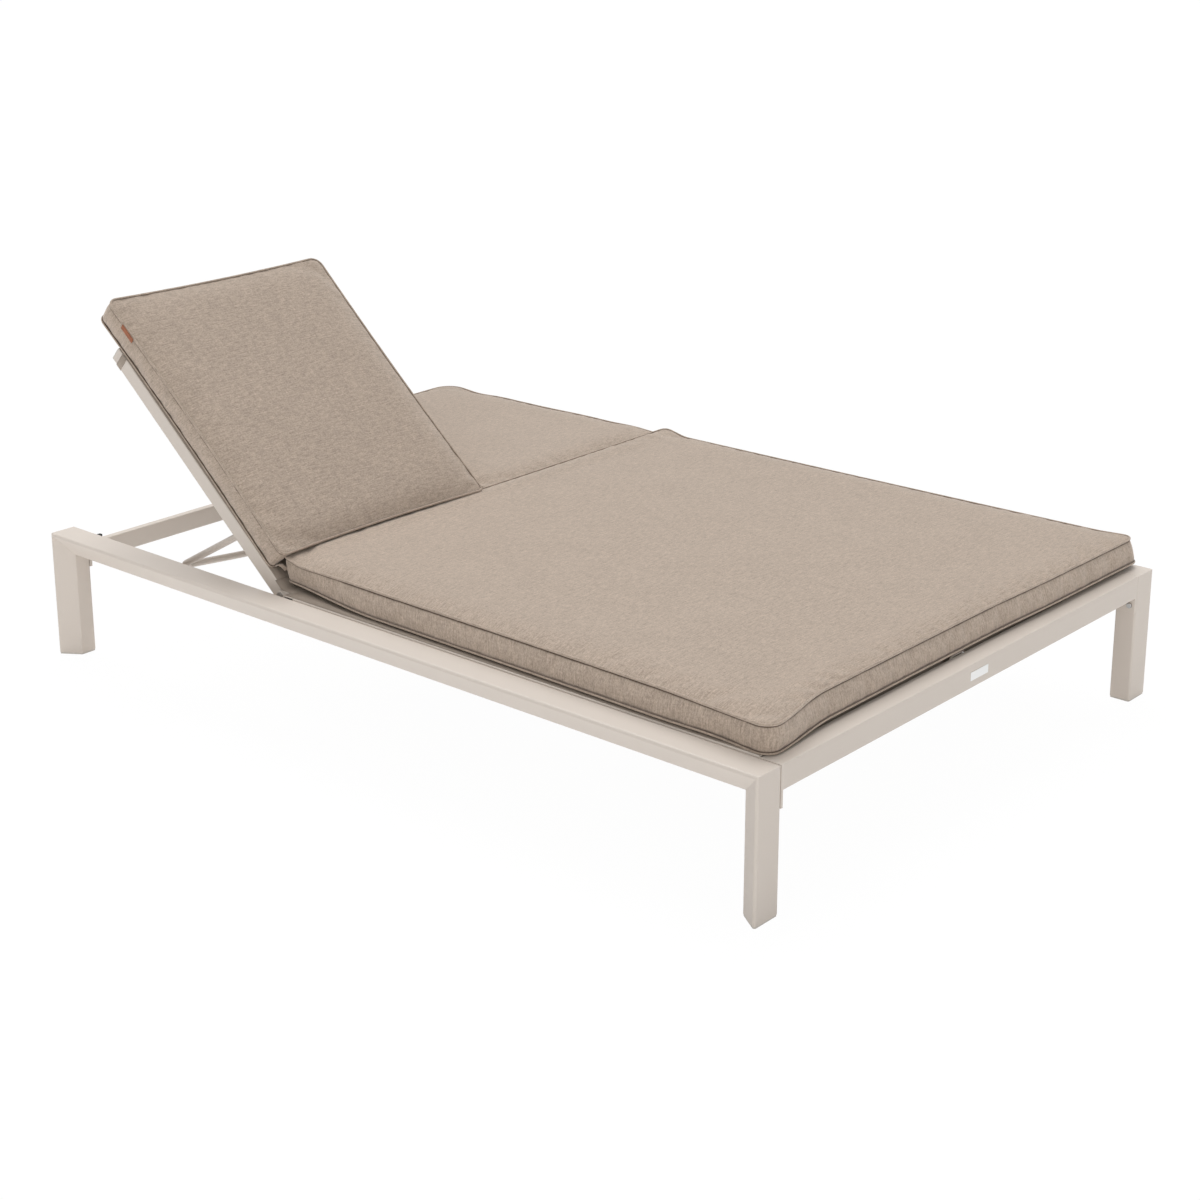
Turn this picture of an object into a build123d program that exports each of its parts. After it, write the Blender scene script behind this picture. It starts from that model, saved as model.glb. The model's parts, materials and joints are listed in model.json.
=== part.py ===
# Double chaise lounger: a low aluminium frame, two backs that tilt by themselves, and loose cushions.
# Millimetres. +X runs across the lounger, +Y towards the head end, +Z up.
# The origin is on the floor, under the middle of the lounger's outline.

from math import asin, cos, degrees, radians, sin
import os

from build123d import *

# Driving dimensions of the frame
frame_length = 2068
frame_width = 1470
frame_height = 300
rail_top_width = 74
rail_bottom_width = 40
rail_depth = 50
rail_wall = 2.5
rail_rounding = 5
glide_height = 4
glide_inset = 1
glide_plug_height = 16
foot_rail_height = 52
tube_wall = 2
tube_rounding = 3
head_rail_depth = 19
head_rail_height = 45
head_rail_drop = 44
flange_thickness = 6
flange_drop = 34
head_flange_depth = 50

# Seat structure
sling_rise = 3
sling_thickness = 1.5
sling_edge_gap = 2
seat_bar_width = 25
seat_bar_depth = 25
cross_rail_depth = 30
cross_rail_height = 47
beam_width = 40
beam_height = 40
spreader_diameter = 22
spreader_drop = 16
spreader_sag = 28
spreader_straight = 40
spreader_bend_radius = 500
spreader_spacing_shares = (0.30, 0.68)

# Backs and their hinges
hinge_from_head = 708
hinge_drop = 8
back_side_gap = 21
back_middle_gap = 24
back_rail_width = 25
back_rail_depth = 36
back_rail_tail = 12
back_head_gap = 6
back_cap_thickness = 4
back_bottom_bar = 40
pin_diameter = 8
pin_clearance = 0.05
pin_head_diameter = 15
pin_head_thickness = 4
plug_wall_clearance = 0.15
ear_thickness = 5
ear_side_clearance = 1
ear_radius = 12
cross_rail_clearance = 28.5
raised_angle = 40.6
highest_angle = 60
buffer_length = 30
buffer_width = 9
buffer_clearance = 0.3

# Support bails under the backs
bail_pivot_from_hinge = 177
bail_length = 286
bail_diameter = 16
bail_wall = 2
bail_inset = 34
bail_bend_radius = 26
bail_bow = 28
bail_bow_radius = 1300
bail_tail = 11
bail_foot_drop = 40
bail_follow_share = 0.59
bail_pin_diameter = 8
bail_pin_seat = 9
peg_diameter = 8
peg_length = 13
sleeve_diameter = 11

# Notched racks that hold the bails' feet
rack_wall = 3
rack_tooth_wall = 4
rack_floor_drop = 16
rack_tooth_depth = 5
rack_tooth_gap = 0.5
rack_end_margin = 14
rack_flange_height = 34
rack_angles = (0, 15, 28, raised_angle, 50, highest_angle)

# Cushions and trim
cushion_thickness = 56
cushion_crown = 9
crown_shares = ((0, 0), (0.07, 0.35), (0.18, 0.68), (0.36, 0.92), (0.6, 1))
cushion_draw_in = 6
cushion_corner = 28
soft_gap = 0.3
seat_cushion_head_lap = 5
seat_cushion_foot_lap = 29
seat_cushion_shift = 24
seat_cushion_foot_inset = 31
seat_cushion_past_hinge = 24
seat_cushion_foot_of_hinge = 10
back_cushion_length = 730
back_cushion_start = 74
back_cushion_front_start_left = 66
back_cushion_front_start_right = 55
back_cushion_middle_gap = 20
right_cushion_shift = 44
strap_width = 28
strap_thickness = 1.5
strap_from_end = 19
tab_length = 46
tab_width = 13
tab_thickness = 1.5
tab_from_end = 72
plate_width = 65
plate_height = 18
plate_thickness = 1
plate_offset = 4

# Fasteners
bolt_diameter = 8
bolt_head_diameter = 13
bolt_head_height = 5
bolt_length = 16
bolt_spacing = 24
bolt_edge = 13
screw_diameter = 5
screw_head_diameter = 9
screw_head_height = 3
screw_length = 8

overrun = 5

# Places worked out from the dimensions
back_length = hinge_from_head - back_head_gap
cushion_overhang = back_cushion_start + back_cushion_length - hinge_from_head
overall_length = frame_length + max(cushion_overhang, 0)
foot_y = -overall_length / 2
head_y = foot_y + frame_length
hinge_y = head_y - hinge_from_head
hinge_height = frame_height - hinge_drop
sling_level = frame_height + sling_rise
spreader_level = frame_height - spreader_drop
bail_foot_height = frame_height - bail_foot_drop
half_width = frame_width / 2
inner_x = half_width - rail_top_width
rail_bottom = frame_height - rail_depth
sling_top = sling_level + sling_thickness
back_bottom = sling_level - back_rail_depth
back_outer_x = inner_x - back_side_gap
back_inner_x = back_middle_gap / 2
bail_outer_x = back_outer_x - bail_inset
bail_inner_x = back_inner_x + bail_inset
cross_rail_head_y = hinge_y - cross_rail_clearance
cross_rail_foot_y = cross_rail_head_y - cross_rail_depth
cross_rail_bottom = sling_level - cross_rail_height
head_rail_top = frame_height - head_rail_drop
head_rail_bottom = head_rail_top - head_rail_height
back_beam_top = cross_rail_bottom
back_beam_bottom = back_beam_top - beam_height
bail_pivot_level = back_bottom + back_rail_depth / 2
hinge_axis = Axis((0, hinge_y, hinge_height), (1, 0, 0))
bail_axis = Axis((0, hinge_y + bail_pivot_from_hinge, bail_pivot_level), (1, 0, 0))
sides = {"left": -1, "right": 1}
rest_angles = {"left": raised_angle, "right": 0}
front_starts = {"left": back_cushion_front_start_left, "right": back_cushion_front_start_right}
cushion_shifts = {"left": 0, "right": right_cushion_shift}


def pivot_height(angle):
    """Height of the bail's pivot when the back stands at this angle."""
    drop = bail_pivot_level - hinge_height
    return hinge_height + bail_pivot_from_hinge * sin(radians(angle)) + drop * cos(radians(angle))


def pivot_place(angle):
    """How far along Y the bail's pivot lies when the back stands at this angle."""
    drop = bail_pivot_level - hinge_height
    return hinge_y + bail_pivot_from_hinge * cos(radians(angle)) - drop * sin(radians(angle))


bail_raised_slope = degrees(asin((pivot_height(raised_angle) - bail_foot_height) / bail_length))
bail_flat_slope = bail_raised_slope - bail_follow_share * raised_angle


def foot_point(angle):
    """Y and Z of the bail's foot axis when the back stands at this angle."""
    slope = radians(bail_flat_slope + bail_follow_share * angle)
    y = pivot_place(angle) + bail_length * cos(slope)
    z = pivot_height(angle) - bail_length * sin(slope)
    return y, z


def save(shape, node):
    export_step(shape, f"parts/{node}.step")


def block(x0, x1, y0, y1, z0, z1):
    """A plain block between three pairs of coordinates, given in either order."""
    middle = Pos((x0 + x1) / 2, (y0 + y1) / 2, (z0 + z1) / 2)
    return middle * Box(abs(x1 - x0), abs(y1 - y0), abs(z1 - z0))


def ring(width, depth, wall, rounding):
    """Cross-section of a rectangular tube with rounded corners."""
    outer = RectangleRounded(width, depth, rounding)
    bore = Rectangle(width - 2 * wall, depth - 2 * wall)
    return outer - bore


def tube_x(x0, x1, y0, y1, z0, z1, wall=tube_wall):
    """A rectangular tube that runs along X."""
    section = Pos((y0 + y1) / 2, (z0 + z1) / 2) * ring(abs(y1 - y0), abs(z1 - z0), wall, tube_rounding)
    return extrude(Plane.YZ.offset(min(x0, x1)) * section, abs(x1 - x0))


def tube_y(x0, x1, y0, y1, z0, z1, wall=tube_wall):
    """A rectangular tube that runs along Y."""
    section = Pos((x0 + x1) / 2, (z0 + z1) / 2) * ring(abs(x1 - x0), abs(z1 - z0), wall, tube_rounding)
    return extrude(Plane.XZ.offset(-max(y0, y1)) * section, abs(y1 - y0))


def rod_x(x0, x1, y, z, diameter):
    """A round bar along X between two places."""
    disc = Pos(y, z) * Circle(diameter / 2)
    return extrude(Plane.YZ.offset(min(x0, x1)) * disc, abs(x1 - x0))


def mirrored(shape, side):
    """The shape as modelled on the +X side, or its mirror image on the -X side."""
    return shape if side > 0 else mirror(shape, about=Plane.YZ)


def rail_section(shrink):
    """Side rail section: wide on top, plumb inside, slanted outside. u runs outwards, v downwards."""
    inset_share = (rail_top_width - rail_bottom_width) / rail_depth
    low = rail_depth - shrink
    outline = Polyline(
        (shrink, shrink),
        (rail_top_width - shrink * (1 + inset_share), shrink),
        (rail_top_width - shrink - low * inset_share, low),
        (shrink, low),
        close=True,
    )
    # the hollow and the foot's plug are rounded too, or the hollow would break out at the sharp edge
    return fillet(make_face(outline).vertices(), rail_rounding - shrink)


def rail_prism(shrink):
    """The side rail's section run along Y, past both mitres."""
    section = Plane((inner_x, foot_y - overrun, frame_height), x_dir=(1, 0, 0), z_dir=(0, 1, 0))
    return extrude(section * rail_section(shrink), frame_length + 2 * overrun)


def rail_mitre():
    """Side view of the rail: full length on top, cut back at 45 degrees at each end."""
    outline = Polyline(
        (foot_y, frame_height),
        (head_y, frame_height),
        (head_y - rail_depth, rail_bottom),
        (foot_y + rail_depth, rail_bottom),
        close=True,
    )
    return extrude(Plane.YZ.offset(inner_x - overrun) * make_face(outline), rail_top_width + 2 * overrun)


def side_rail():
    return (rail_prism(0) - rail_prism(rail_wall)) & rail_mitre()


def leg_prism(end, shrink):
    """The same section stood on end: its wide face looks out of the lounger's end."""
    end_y = foot_y if end < 0 else head_y
    low = glide_height if shrink == 0 else glide_height - overrun
    section = Plane((inner_x, end_y, low), x_dir=(1, 0, 0), z_dir=(0, 0, 1))
    face = rail_section(shrink)
    if end > 0:
        face = mirror(face, about=Plane.XZ)
    return extrude(section * face, frame_height + overrun - low)


def leg_mitre(end):
    """Side view of a leg, with its top cut at 45 degrees to meet the rail."""
    end_y = foot_y if end < 0 else head_y
    outline = Polyline(
        (end_y, glide_height),
        (end_y, frame_height),
        (end_y - end * rail_depth, rail_bottom),
        (end_y - end * rail_depth, glide_height),
        close=True,
    )
    return extrude(Plane.YZ.offset(inner_x - overrun) * make_face(outline), rail_top_width + 2 * overrun)


def leg(end):
    return (leg_prism(end, 0) - leg_prism(end, rail_wall)) & leg_mitre(end)


def glide(end):
    """Plastic foot: a pad under the leg with a plug that fills the tube's mouth."""
    end_y = foot_y if end < 0 else head_y
    faces = [rail_section(glide_inset), rail_section(rail_wall + plug_wall_clearance)]
    if end > 0:
        faces = [mirror(face, about=Plane.XZ) for face in faces]
    base = Plane((inner_x, end_y, 0), x_dir=(1, 0, 0), z_dir=(0, 0, 1))
    pad = extrude(base * faces[0], glide_height)
    plug = extrude(base * faces[1], glide_height + glide_plug_height)
    return pad + plug


def foot_rail():
    reach = inner_x - flange_thickness
    low = frame_height - foot_rail_height
    return tube_x(-reach, reach, foot_y, foot_y + rail_depth, low, frame_height)


def head_rail():
    reach = inner_x - flange_thickness
    return tube_x(-reach, reach, head_y - head_rail_depth, head_y, head_rail_bottom, head_rail_top)


def bolt_places(end):
    """Y and Z of the two bolts that hold each flange to its leg."""
    if end < 0:
        middle_y = foot_y + rail_depth / 2
        z = frame_height - foot_rail_height - flange_drop / 2
    else:
        middle_y = head_y - head_rail_depth - bolt_edge
        z = head_rail_bottom + head_rail_height / 2
        return [(middle_y, z - bolt_spacing / 2), (middle_y, z + bolt_spacing / 2)]
    return [(middle_y - bolt_spacing / 2, z), (middle_y + bolt_spacing / 2, z)]


def flange(end):
    """End plate welded to a cross rail, with its two bolt holes."""
    if end < 0:
        low = frame_height - foot_rail_height - flange_drop
        plate = block(inner_x - flange_thickness, inner_x, foot_y, foot_y + rail_depth, low, frame_height)
    else:
        plate = block(inner_x - flange_thickness, inner_x, head_y - head_flange_depth, head_y,
                      head_rail_bottom, head_rail_top)
    for y, z in bolt_places(end):
        plate -= rod_x(inner_x - flange_thickness - overrun, inner_x + overrun, y, z, bolt_diameter)
    return plate


def frame_bolt(y, z):
    """Button-head bolt from the flange into the leg."""
    face_x = inner_x - flange_thickness
    head = rod_x(face_x - bolt_head_height, face_x, y, z, bolt_head_diameter)
    head = fillet(head.faces().sort_by(Axis.X)[0].edges(), bolt_head_height / 2)
    return head + rod_x(face_x, face_x + bolt_length, y, z, bolt_diameter)


def drilled_leg(end):
    """A leg with the holes that its flange's bolts go into."""
    shape = leg(end)
    for y, z in bolt_places(end):
        shape -= rod_x(inner_x - overrun, inner_x + rail_wall + overrun, y, z, bolt_diameter)
    return shape


def seat_side_bar():
    x1 = inner_x
    return tube_y(x1 - seat_bar_width, x1, foot_y + rail_depth, cross_rail_foot_y,
                  sling_level - seat_bar_depth, sling_level)


def seat_centre_beam():
    return tube_y(-beam_width / 2, beam_width / 2, foot_y + rail_depth, cross_rail_foot_y,
                  sling_level - beam_height, sling_level)


def hinge_cross_rail():
    return tube_x(-inner_x, inner_x, cross_rail_foot_y, cross_rail_head_y, cross_rail_bottom, sling_level)


def back_centre_beam():
    """Beam under the gap between the backs, from the hinge rail to the head rail."""
    return tube_y(-beam_width / 2, beam_width / 2, cross_rail_foot_y, head_y - head_rail_depth,
                  back_beam_bottom, back_beam_top)


def spreader(share):
    """Round bar bent down in the middle, so that the sling can sag above it."""
    y = foot_y + rail_depth + share * (cross_rail_foot_y - foot_y - rail_depth)
    x0 = beam_width / 2
    x1 = inner_x - seat_bar_width
    middle = (x0 + x1) / 2
    low = spreader_level - spreader_sag
    path = FilletPolyline(
        (x0, y, spreader_level),
        (x0 + spreader_straight, y, spreader_level),
        (middle, y, low),
        (x1 - spreader_straight, y, spreader_level),
        (x1, y, spreader_level),
        radius=spreader_bend_radius,
    )
    section = Plane((x0, y, spreader_level), z_dir=(1, 0, 0))
    wall_ring = Circle(spreader_diameter / 2) - Circle(spreader_diameter / 2 - tube_wall)
    return sweep(section * wall_ring, path=path)


def seat_sling():
    """Fabric stretched from the side bar to the centre beam."""
    return block(sling_edge_gap / 2, inner_x - sling_edge_gap, foot_y + rail_depth + sling_edge_gap,
                 cross_rail_head_y - sling_edge_gap, sling_level, sling_top)


def hinge_ears():
    """Two upright plates on the cross rail's head face, each with its pin's hole."""
    ears = []
    for x in ear_places():
        plate = block(x, x + ear_thickness, cross_rail_head_y, hinge_y,
                      hinge_height - ear_radius, hinge_height + ear_radius)
        plate += rod_x(x, x + ear_thickness, hinge_y, hinge_height, 2 * ear_radius)
        plate -= rod_x(x - overrun, x + ear_thickness + overrun, hinge_y, hinge_height, pin_diameter)
        ears.append(plate)
    return ears


def ear_places():
    """Low X of the inner and of the outer ear on the +X side."""
    inner = back_inner_x - ear_side_clearance - ear_thickness
    outer = back_outer_x + ear_side_clearance
    return inner, outer


def hinge_pins():
    """Headed pins, each fixed in its ear and reaching through the back rail's plug."""
    inner, outer = ear_places()
    reach = back_rail_width + ear_side_clearance
    inner_pin = rod_x(inner, inner + ear_thickness + reach, hinge_y, hinge_height, pin_diameter)
    outer_pin = rod_x(outer - reach, outer + ear_thickness, hinge_y, hinge_height, pin_diameter)
    outer_head = rod_x(outer + ear_thickness, outer + ear_thickness + pin_head_thickness,
                       hinge_y, hinge_height, pin_head_diameter)
    inner_head = rod_x(inner - pin_head_thickness, inner, hinge_y, hinge_height, pin_head_diameter)
    return [inner_pin + inner_head, outer_pin + outer_head]


def rack_outline():
    """Side view of the toothed wall: its tips follow the foot's path, just below the sleeves."""
    drop = sleeve_diameter / 2 + rack_tooth_gap
    points = []
    for low_angle, high_angle in zip(rack_angles, rack_angles[1:]):
        y, z = foot_point(low_angle)
        tip_y, tip_z = foot_point((low_angle + high_angle) / 2)
        points += [(y, z - drop - rack_tooth_depth), (tip_y, tip_z - drop)]
    last_y, last_z = foot_point(rack_angles[-1])
    points.append((last_y, last_z - drop - rack_tooth_depth))
    return points


def rack_span():
    """Head-side end, foot-side end and floor level of the racks."""
    teeth = rack_outline()
    floor = min(z for _, z in teeth) - rack_floor_drop + rack_tooth_depth
    return teeth[0][0] + rack_end_margin, teeth[-1][0] - rack_end_margin, floor


def rack(wall_x, tooth_x, flange_top):
    """Channel with a flange on the frame at wall_x and a notched wall centred on tooth_x."""
    head_end, foot_end, floor = rack_span()
    turn = 1 if wall_x > tooth_x else -1
    teeth = rack_outline()
    outline = Polyline(
        (head_end, floor),
        (head_end, teeth[0][1]),
        *teeth,
        (foot_end, teeth[-1][1]),
        (foot_end, floor),
        close=True,
    )
    low_x = tooth_x - rack_tooth_wall / 2
    wall = extrude(Plane.YZ.offset(low_x) * make_face(outline), rack_tooth_wall)
    shelf = block(tooth_x - turn * rack_tooth_wall / 2, wall_x, foot_end, head_end, floor, floor + rack_wall)
    back = block(wall_x - turn * rack_wall, wall_x, foot_end, head_end, floor, flange_top)
    return wall + shelf + back


def tooth_places():
    """X of the inner and of the outer toothed wall, under the middle of each peg's sleeve."""
    reach = (bail_diameter + peg_length) / 2
    return bail_inner_x - reach, bail_outer_x + reach


def outer_rack():
    shape = rack(inner_x, tooth_places()[1], rail_bottom + rack_flange_height)
    for y, z in outer_screw_places():
        shape -= rod_x(inner_x - rack_wall - overrun, inner_x + overrun, y, z, screw_diameter)
    return shape


def inner_rack():
    shape = rack(beam_width / 2, tooth_places()[0], back_beam_top)
    for y, z in inner_screw_places():
        shape -= rod_x(beam_width / 2 - overrun, beam_width / 2 + rack_wall + overrun, y, z, screw_diameter)
    return shape


def rack_screw_ys():
    head_end, foot_end, _ = rack_span()
    return foot_end + rack_end_margin, head_end - rack_end_margin


def outer_screw_places():
    return [(y, rail_bottom + rack_flange_height * 2 / 3) for y in rack_screw_ys()]


def inner_screw_places():
    z = rack_span()[2] + rack_wall + screw_head_diameter / 2 + soft_gap
    return [(y, z) for y in rack_screw_ys()]


def rack_screws():
    """Short screws through the racks' flanges into the side rail and the centre beam."""
    screws = []
    for y, z in outer_screw_places():
        face = inner_x - rack_wall
        head = rod_x(face - screw_head_height, face, y, z, screw_head_diameter)
        screws.append(head + rod_x(face, face + screw_length, y, z, screw_diameter))
    for y, z in inner_screw_places():
        face = beam_width / 2 + rack_wall
        head = rod_x(face, face + screw_head_height, y, z, screw_head_diameter)
        screws.append(head + rod_x(face - screw_length, face, y, z, screw_diameter))
    return screws


def drilled(shape, places, x0, x1, diameter):
    """The shape with round holes along X at each of the places."""
    for y, z in places:
        shape -= rod_x(x0, x1, y, z, diameter)
    return shape


def head_buffers():
    """Rubber pads on the head rail that the flat backs come down on."""
    y = head_y - head_rail_depth / 2
    top = back_bottom - buffer_clearance
    pads = []
    for x in (back_inner_x + buffer_length, back_outer_x - buffer_length):
        pads.append(block(x - buffer_length / 2, x + buffer_length / 2, y - buffer_width / 2,
                          y + buffer_width / 2, head_rail_top, top))
    return pads


def blank_plate():
    """Small bare plate stuck on the foot rail's outer face."""
    z = frame_height - foot_rail_height / 2
    return block(plate_offset - plate_width / 2, plate_offset + plate_width / 2,
                 foot_y - plate_thickness, foot_y, z - plate_height / 2, z + plate_height / 2)


def back_rail(x0):
    """Side tube of a back, with a clear hole for the hinge pin and a snug one for the bail's pin."""
    end_y = hinge_y + back_length - back_cap_thickness
    shape = tube_y(x0, x0 + back_rail_width, hinge_y - back_rail_tail, end_y, back_bottom, sling_level)
    x_low = x0 - overrun
    x_high = x0 + back_rail_width + overrun
    shape -= rod_x(x_low, x_high, hinge_y, hinge_height, pin_diameter + 2 * tube_wall)
    return shape


def back_rails():
    """Inner and outer rail of the +X back, drilled for the bail's pins on the side that faces the bail."""
    inner = back_rail(back_inner_x)
    outer = back_rail(back_outer_x - back_rail_width)
    pivot_y = hinge_y + bail_pivot_from_hinge
    inner_wall = back_inner_x + back_rail_width - tube_wall
    outer_wall = back_outer_x - back_rail_width + tube_wall
    inner -= rod_x(inner_wall - overrun, inner_wall + overrun, pivot_y, bail_pivot_level, bail_pin_diameter)
    outer -= rod_x(outer_wall - overrun, outer_wall + overrun, pivot_y, bail_pivot_level, bail_pin_diameter)
    return inner, outer


def back_top_bar():
    y1 = hinge_y + back_length - back_cap_thickness
    return tube_x(back_inner_x + back_rail_width, back_outer_x - back_rail_width,
                  y1 - back_rail_width, y1, back_bottom, sling_level)


def back_bottom_bar_tube():
    y0 = hinge_y + back_bottom_bar
    return tube_x(back_inner_x + back_rail_width, back_outer_x - back_rail_width,
                  y0, y0 + back_rail_width, back_bottom, sling_level)


def back_sling():
    y0 = hinge_y + back_bottom_bar / 2
    y1 = hinge_y + back_length - back_cap_thickness
    return block(back_inner_x + sling_edge_gap, back_outer_x - sling_edge_gap, y0, y1, sling_level, sling_top)


def back_end_caps():
    """Plastic caps in the head ends of both side tubes."""
    caps = []
    y0 = hinge_y + back_length - back_cap_thickness
    half_bore = back_rail_width / 2 - tube_wall - plug_wall_clearance
    low = back_bottom + tube_wall + plug_wall_clearance
    high = sling_level - tube_wall - plug_wall_clearance
    for x0 in (back_inner_x, back_outer_x - back_rail_width):
        middle = x0 + back_rail_width / 2
        section = Plane((middle, y0, back_bottom + back_rail_depth / 2), x_dir=(1, 0, 0), z_dir=(0, 1, 0))
        pad = extrude(section * RectangleRounded(back_rail_width, back_rail_depth, tube_rounding),
                      back_cap_thickness)
        plug = block(middle - half_bore, middle + half_bore, y0 - glide_plug_height, y0, low, high)
        caps.append(pad + plug)
    return caps


def back_hinge_plugs():
    """Bearing blocks that fill the tubes' hinge ends, bored to turn on the pins."""
    plugs = []
    low = back_bottom + tube_wall + plug_wall_clearance
    high = sling_level - tube_wall - plug_wall_clearance
    inset = tube_wall + plug_wall_clearance
    for x0 in (back_inner_x, back_outer_x - back_rail_width):
        x1 = x0 + back_rail_width
        tail, reach = hinge_y - back_rail_tail, hinge_y + 2 * back_rail_tail
        shape = block(x0 + inset, x1 - inset, tail, reach, low, high)
        shape -= rod_x(x0, x1, hinge_y, hinge_height, pin_diameter + 2 * pin_clearance)
        plugs.append(shape)
    return plugs


def bail_pins():
    """Pins fixed in the back rails' inner walls, which the bail's arms turn on."""
    y = hinge_y + bail_pivot_from_hinge
    inner_start = back_inner_x + back_rail_width - bail_pin_seat
    inner = rod_x(inner_start, bail_inner_x + bail_diameter / 2 + bail_wall, y, bail_pivot_level,
                  bail_pin_diameter)
    outer_start = back_outer_x - back_rail_width + bail_pin_seat
    outer = rod_x(bail_outer_x - bail_diameter / 2 - bail_wall, outer_start, y, bail_pivot_level,
                  bail_pin_diameter)
    return [inner, outer]


def back_strap():
    """Fabric band behind the frame, turned up over both side tubes to the cushion."""
    y1 = hinge_y + back_length - strap_from_end
    y0 = y1 - strap_width
    x0 = back_inner_x
    x1 = back_outer_x
    low = back_bottom - strap_thickness
    behind = block(x0 - strap_thickness, x1 + strap_thickness, y0, y1, low, back_bottom)
    near = block(x0 - strap_thickness, x0, y0, y1, low, sling_top)
    far = block(x1, x1 + strap_thickness, y0, y1, low, sling_top)
    return behind + near + far


def cushion_outline(points, level):
    """Face with its four sides drawn in a little between rounded corners."""
    middle = Vector(sum(p[0] for p in points) / len(points), sum(p[1] for p in points) / len(points), level)
    corners = [Vector(x, y, level) for x, y in points]
    edges = []
    for start, end in zip(corners, corners[1:] + corners[:1]):
        half = (start + end) / 2
        inward = (middle - half).normalized() * cushion_draw_in
        edges.append(ThreePointArc(start, half + inward, end))
    face = make_face(Curve() + edges)
    return fillet(face.vertices(), cushion_corner)


def shrunk(points, share):
    """The corner points drawn towards their middle by a share of the way."""
    middle_x = sum(x for x, _ in points) / len(points)
    middle_y = sum(y for _, y in points) / len(points)
    return [(x + (middle_x - x) * share, y + (middle_y - y) * share) for x, y in points]


def cushion(bottom_points, piping_points, bottom):
    """Boxed cushion: sides from the bottom outline up to the piping, then a crown in rings."""
    sections = [cushion_outline(bottom_points, bottom)]
    for inset_share, rise_share in crown_shares:
        level = bottom + cushion_thickness + cushion_crown * rise_share
        sections.append(cushion_outline(shrunk(piping_points, inset_share), level))
    return loft(sections, ruled=True)


def seat_cushion():
    """Loose seat cushion, shifted to +X. Its head edge leans out, which leaves room for the backs' tubes."""
    outlines = []
    for head_edge in (hinge_y - seat_cushion_foot_of_hinge, hinge_y + seat_cushion_past_hinge):
        foot_edge = foot_y + seat_cushion_foot_inset
        half_foot = inner_x + seat_cushion_foot_lap
        half_head = inner_x + seat_cushion_head_lap
        outlines.append([(-half_foot, foot_edge), (half_foot, foot_edge),
                         (half_head, head_edge), (-half_head, head_edge)])
    return Pos(seat_cushion_shift, 0, 0) * cushion(*outlines, sling_top + soft_gap)


def back_cushion(front_start, shift):
    """Back cushion as it lies flat. Its foot edge leans over, as it rests against the seat cushion."""
    x0 = back_cushion_middle_gap / 2 + shift
    x1 = back_outer_x + shift
    y0 = hinge_y + back_cushion_start
    y1 = y0 + back_cushion_length
    front = hinge_y + front_start
    below = [(x0, y0), (x1, y0), (x1, y1), (x0, y1)]
    above = [(x0, front), (x1, front), (x1, y1), (x0, y1)]
    return cushion(below, above, sling_top + soft_gap)


def leather_tab():
    """Bare leather tab sewn flat against the outer side of the cushion, by its top edge."""
    end_share = tab_from_end / back_cushion_length
    drawn_in = 4 * cushion_draw_in * end_share * (1 - end_share)
    x1 = back_outer_x - drawn_in + soft_gap
    y1 = hinge_y + back_cushion_start + back_cushion_length - tab_from_end
    top = sling_top + soft_gap + cushion_thickness
    return block(x1, x1 + tab_thickness, y1 - tab_length, y1, top - tab_width, top)


def bail_path(tail):
    """Centre line of the bail as it folds flat, from the +X back's inner arm to its outer arm."""
    pivot = Vector(0, hinge_y + bail_pivot_from_hinge, bail_pivot_level)
    slope = radians(bail_flat_slope)
    along = Vector(0, cos(slope), -sin(slope))
    below = Vector(0, -sin(slope), -cos(slope))
    inner = Vector(bail_inner_x, 0, 0) + pivot
    outer = Vector(bail_outer_x, 0, 0) + pivot
    foot = along * bail_length
    sagged = (inner + outer) / 2 + foot + below * bail_bow
    points = [inner - along * tail, inner + foot, sagged, outer + foot, outer - along * tail]
    radii = [bail_bend_radius, bail_bow_radius, bail_bend_radius]
    return FilletPolyline(*points, radius=radii), Plane(points[0], z_dir=along)


def bail():
    """Bent round tube with two arms, a bowed crossbar and a foot peg welded at each corner."""
    path, start = bail_path(bail_tail)
    outer = sweep(start * Circle(bail_diameter / 2), path=path)
    bore = sweep(start * Circle(bail_diameter / 2 - bail_wall), path=path)
    y, z = foot_point(0)
    for x, turn in ((bail_inner_x, -1), (bail_outer_x, 1)):
        tip = x + turn * (bail_diameter / 2 + peg_length)
        outer += rod_x(tip, x - turn * bail_diameter / 2, y, z, peg_diameter)
    shape = outer - bore
    pin_y = hinge_y + bail_pivot_from_hinge
    for x in (bail_inner_x, bail_outer_x):
        shape -= rod_x(x - bail_diameter, x + bail_diameter, pin_y, bail_pivot_level,
                       bail_pin_diameter + 2 * pin_clearance)
    return shape


def foot_sleeves():
    """Plastic sleeves on the foot pegs."""
    y, z = foot_point(0)
    sleeves = []
    for x, turn in ((bail_inner_x, -1), (bail_outer_x, 1)):
        start = x + turn * bail_diameter / 2
        end = start + turn * peg_length
        shape = rod_x(start, end, y, z, sleeve_diameter)
        shape -= rod_x(start - turn * overrun, end + turn * overrun, y, z, peg_diameter)
        sleeves.append(shape)
    return sleeves


def place_on_back(shape, side):
    """Moves a piece of the flat +X back to its own side and its angle at rest."""
    return mirrored(shape, sides[side]).rotate(hinge_axis, rest_angles[side])


def place_on_bail(shape, side):
    """Moves a piece of the folded bail with its back, and turns it down to the rack."""
    turned = shape.rotate(bail_axis, -(1 + bail_follow_share) * rest_angles[side])
    return place_on_back(turned, side)


def group(shapes):
    return Compound(children=list(shapes))


def both_sides(shapes):
    """The +X pieces and their mirror images."""
    pieces = list(shapes)
    return group(pieces + [mirrored(piece, -1) for piece in pieces])


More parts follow.
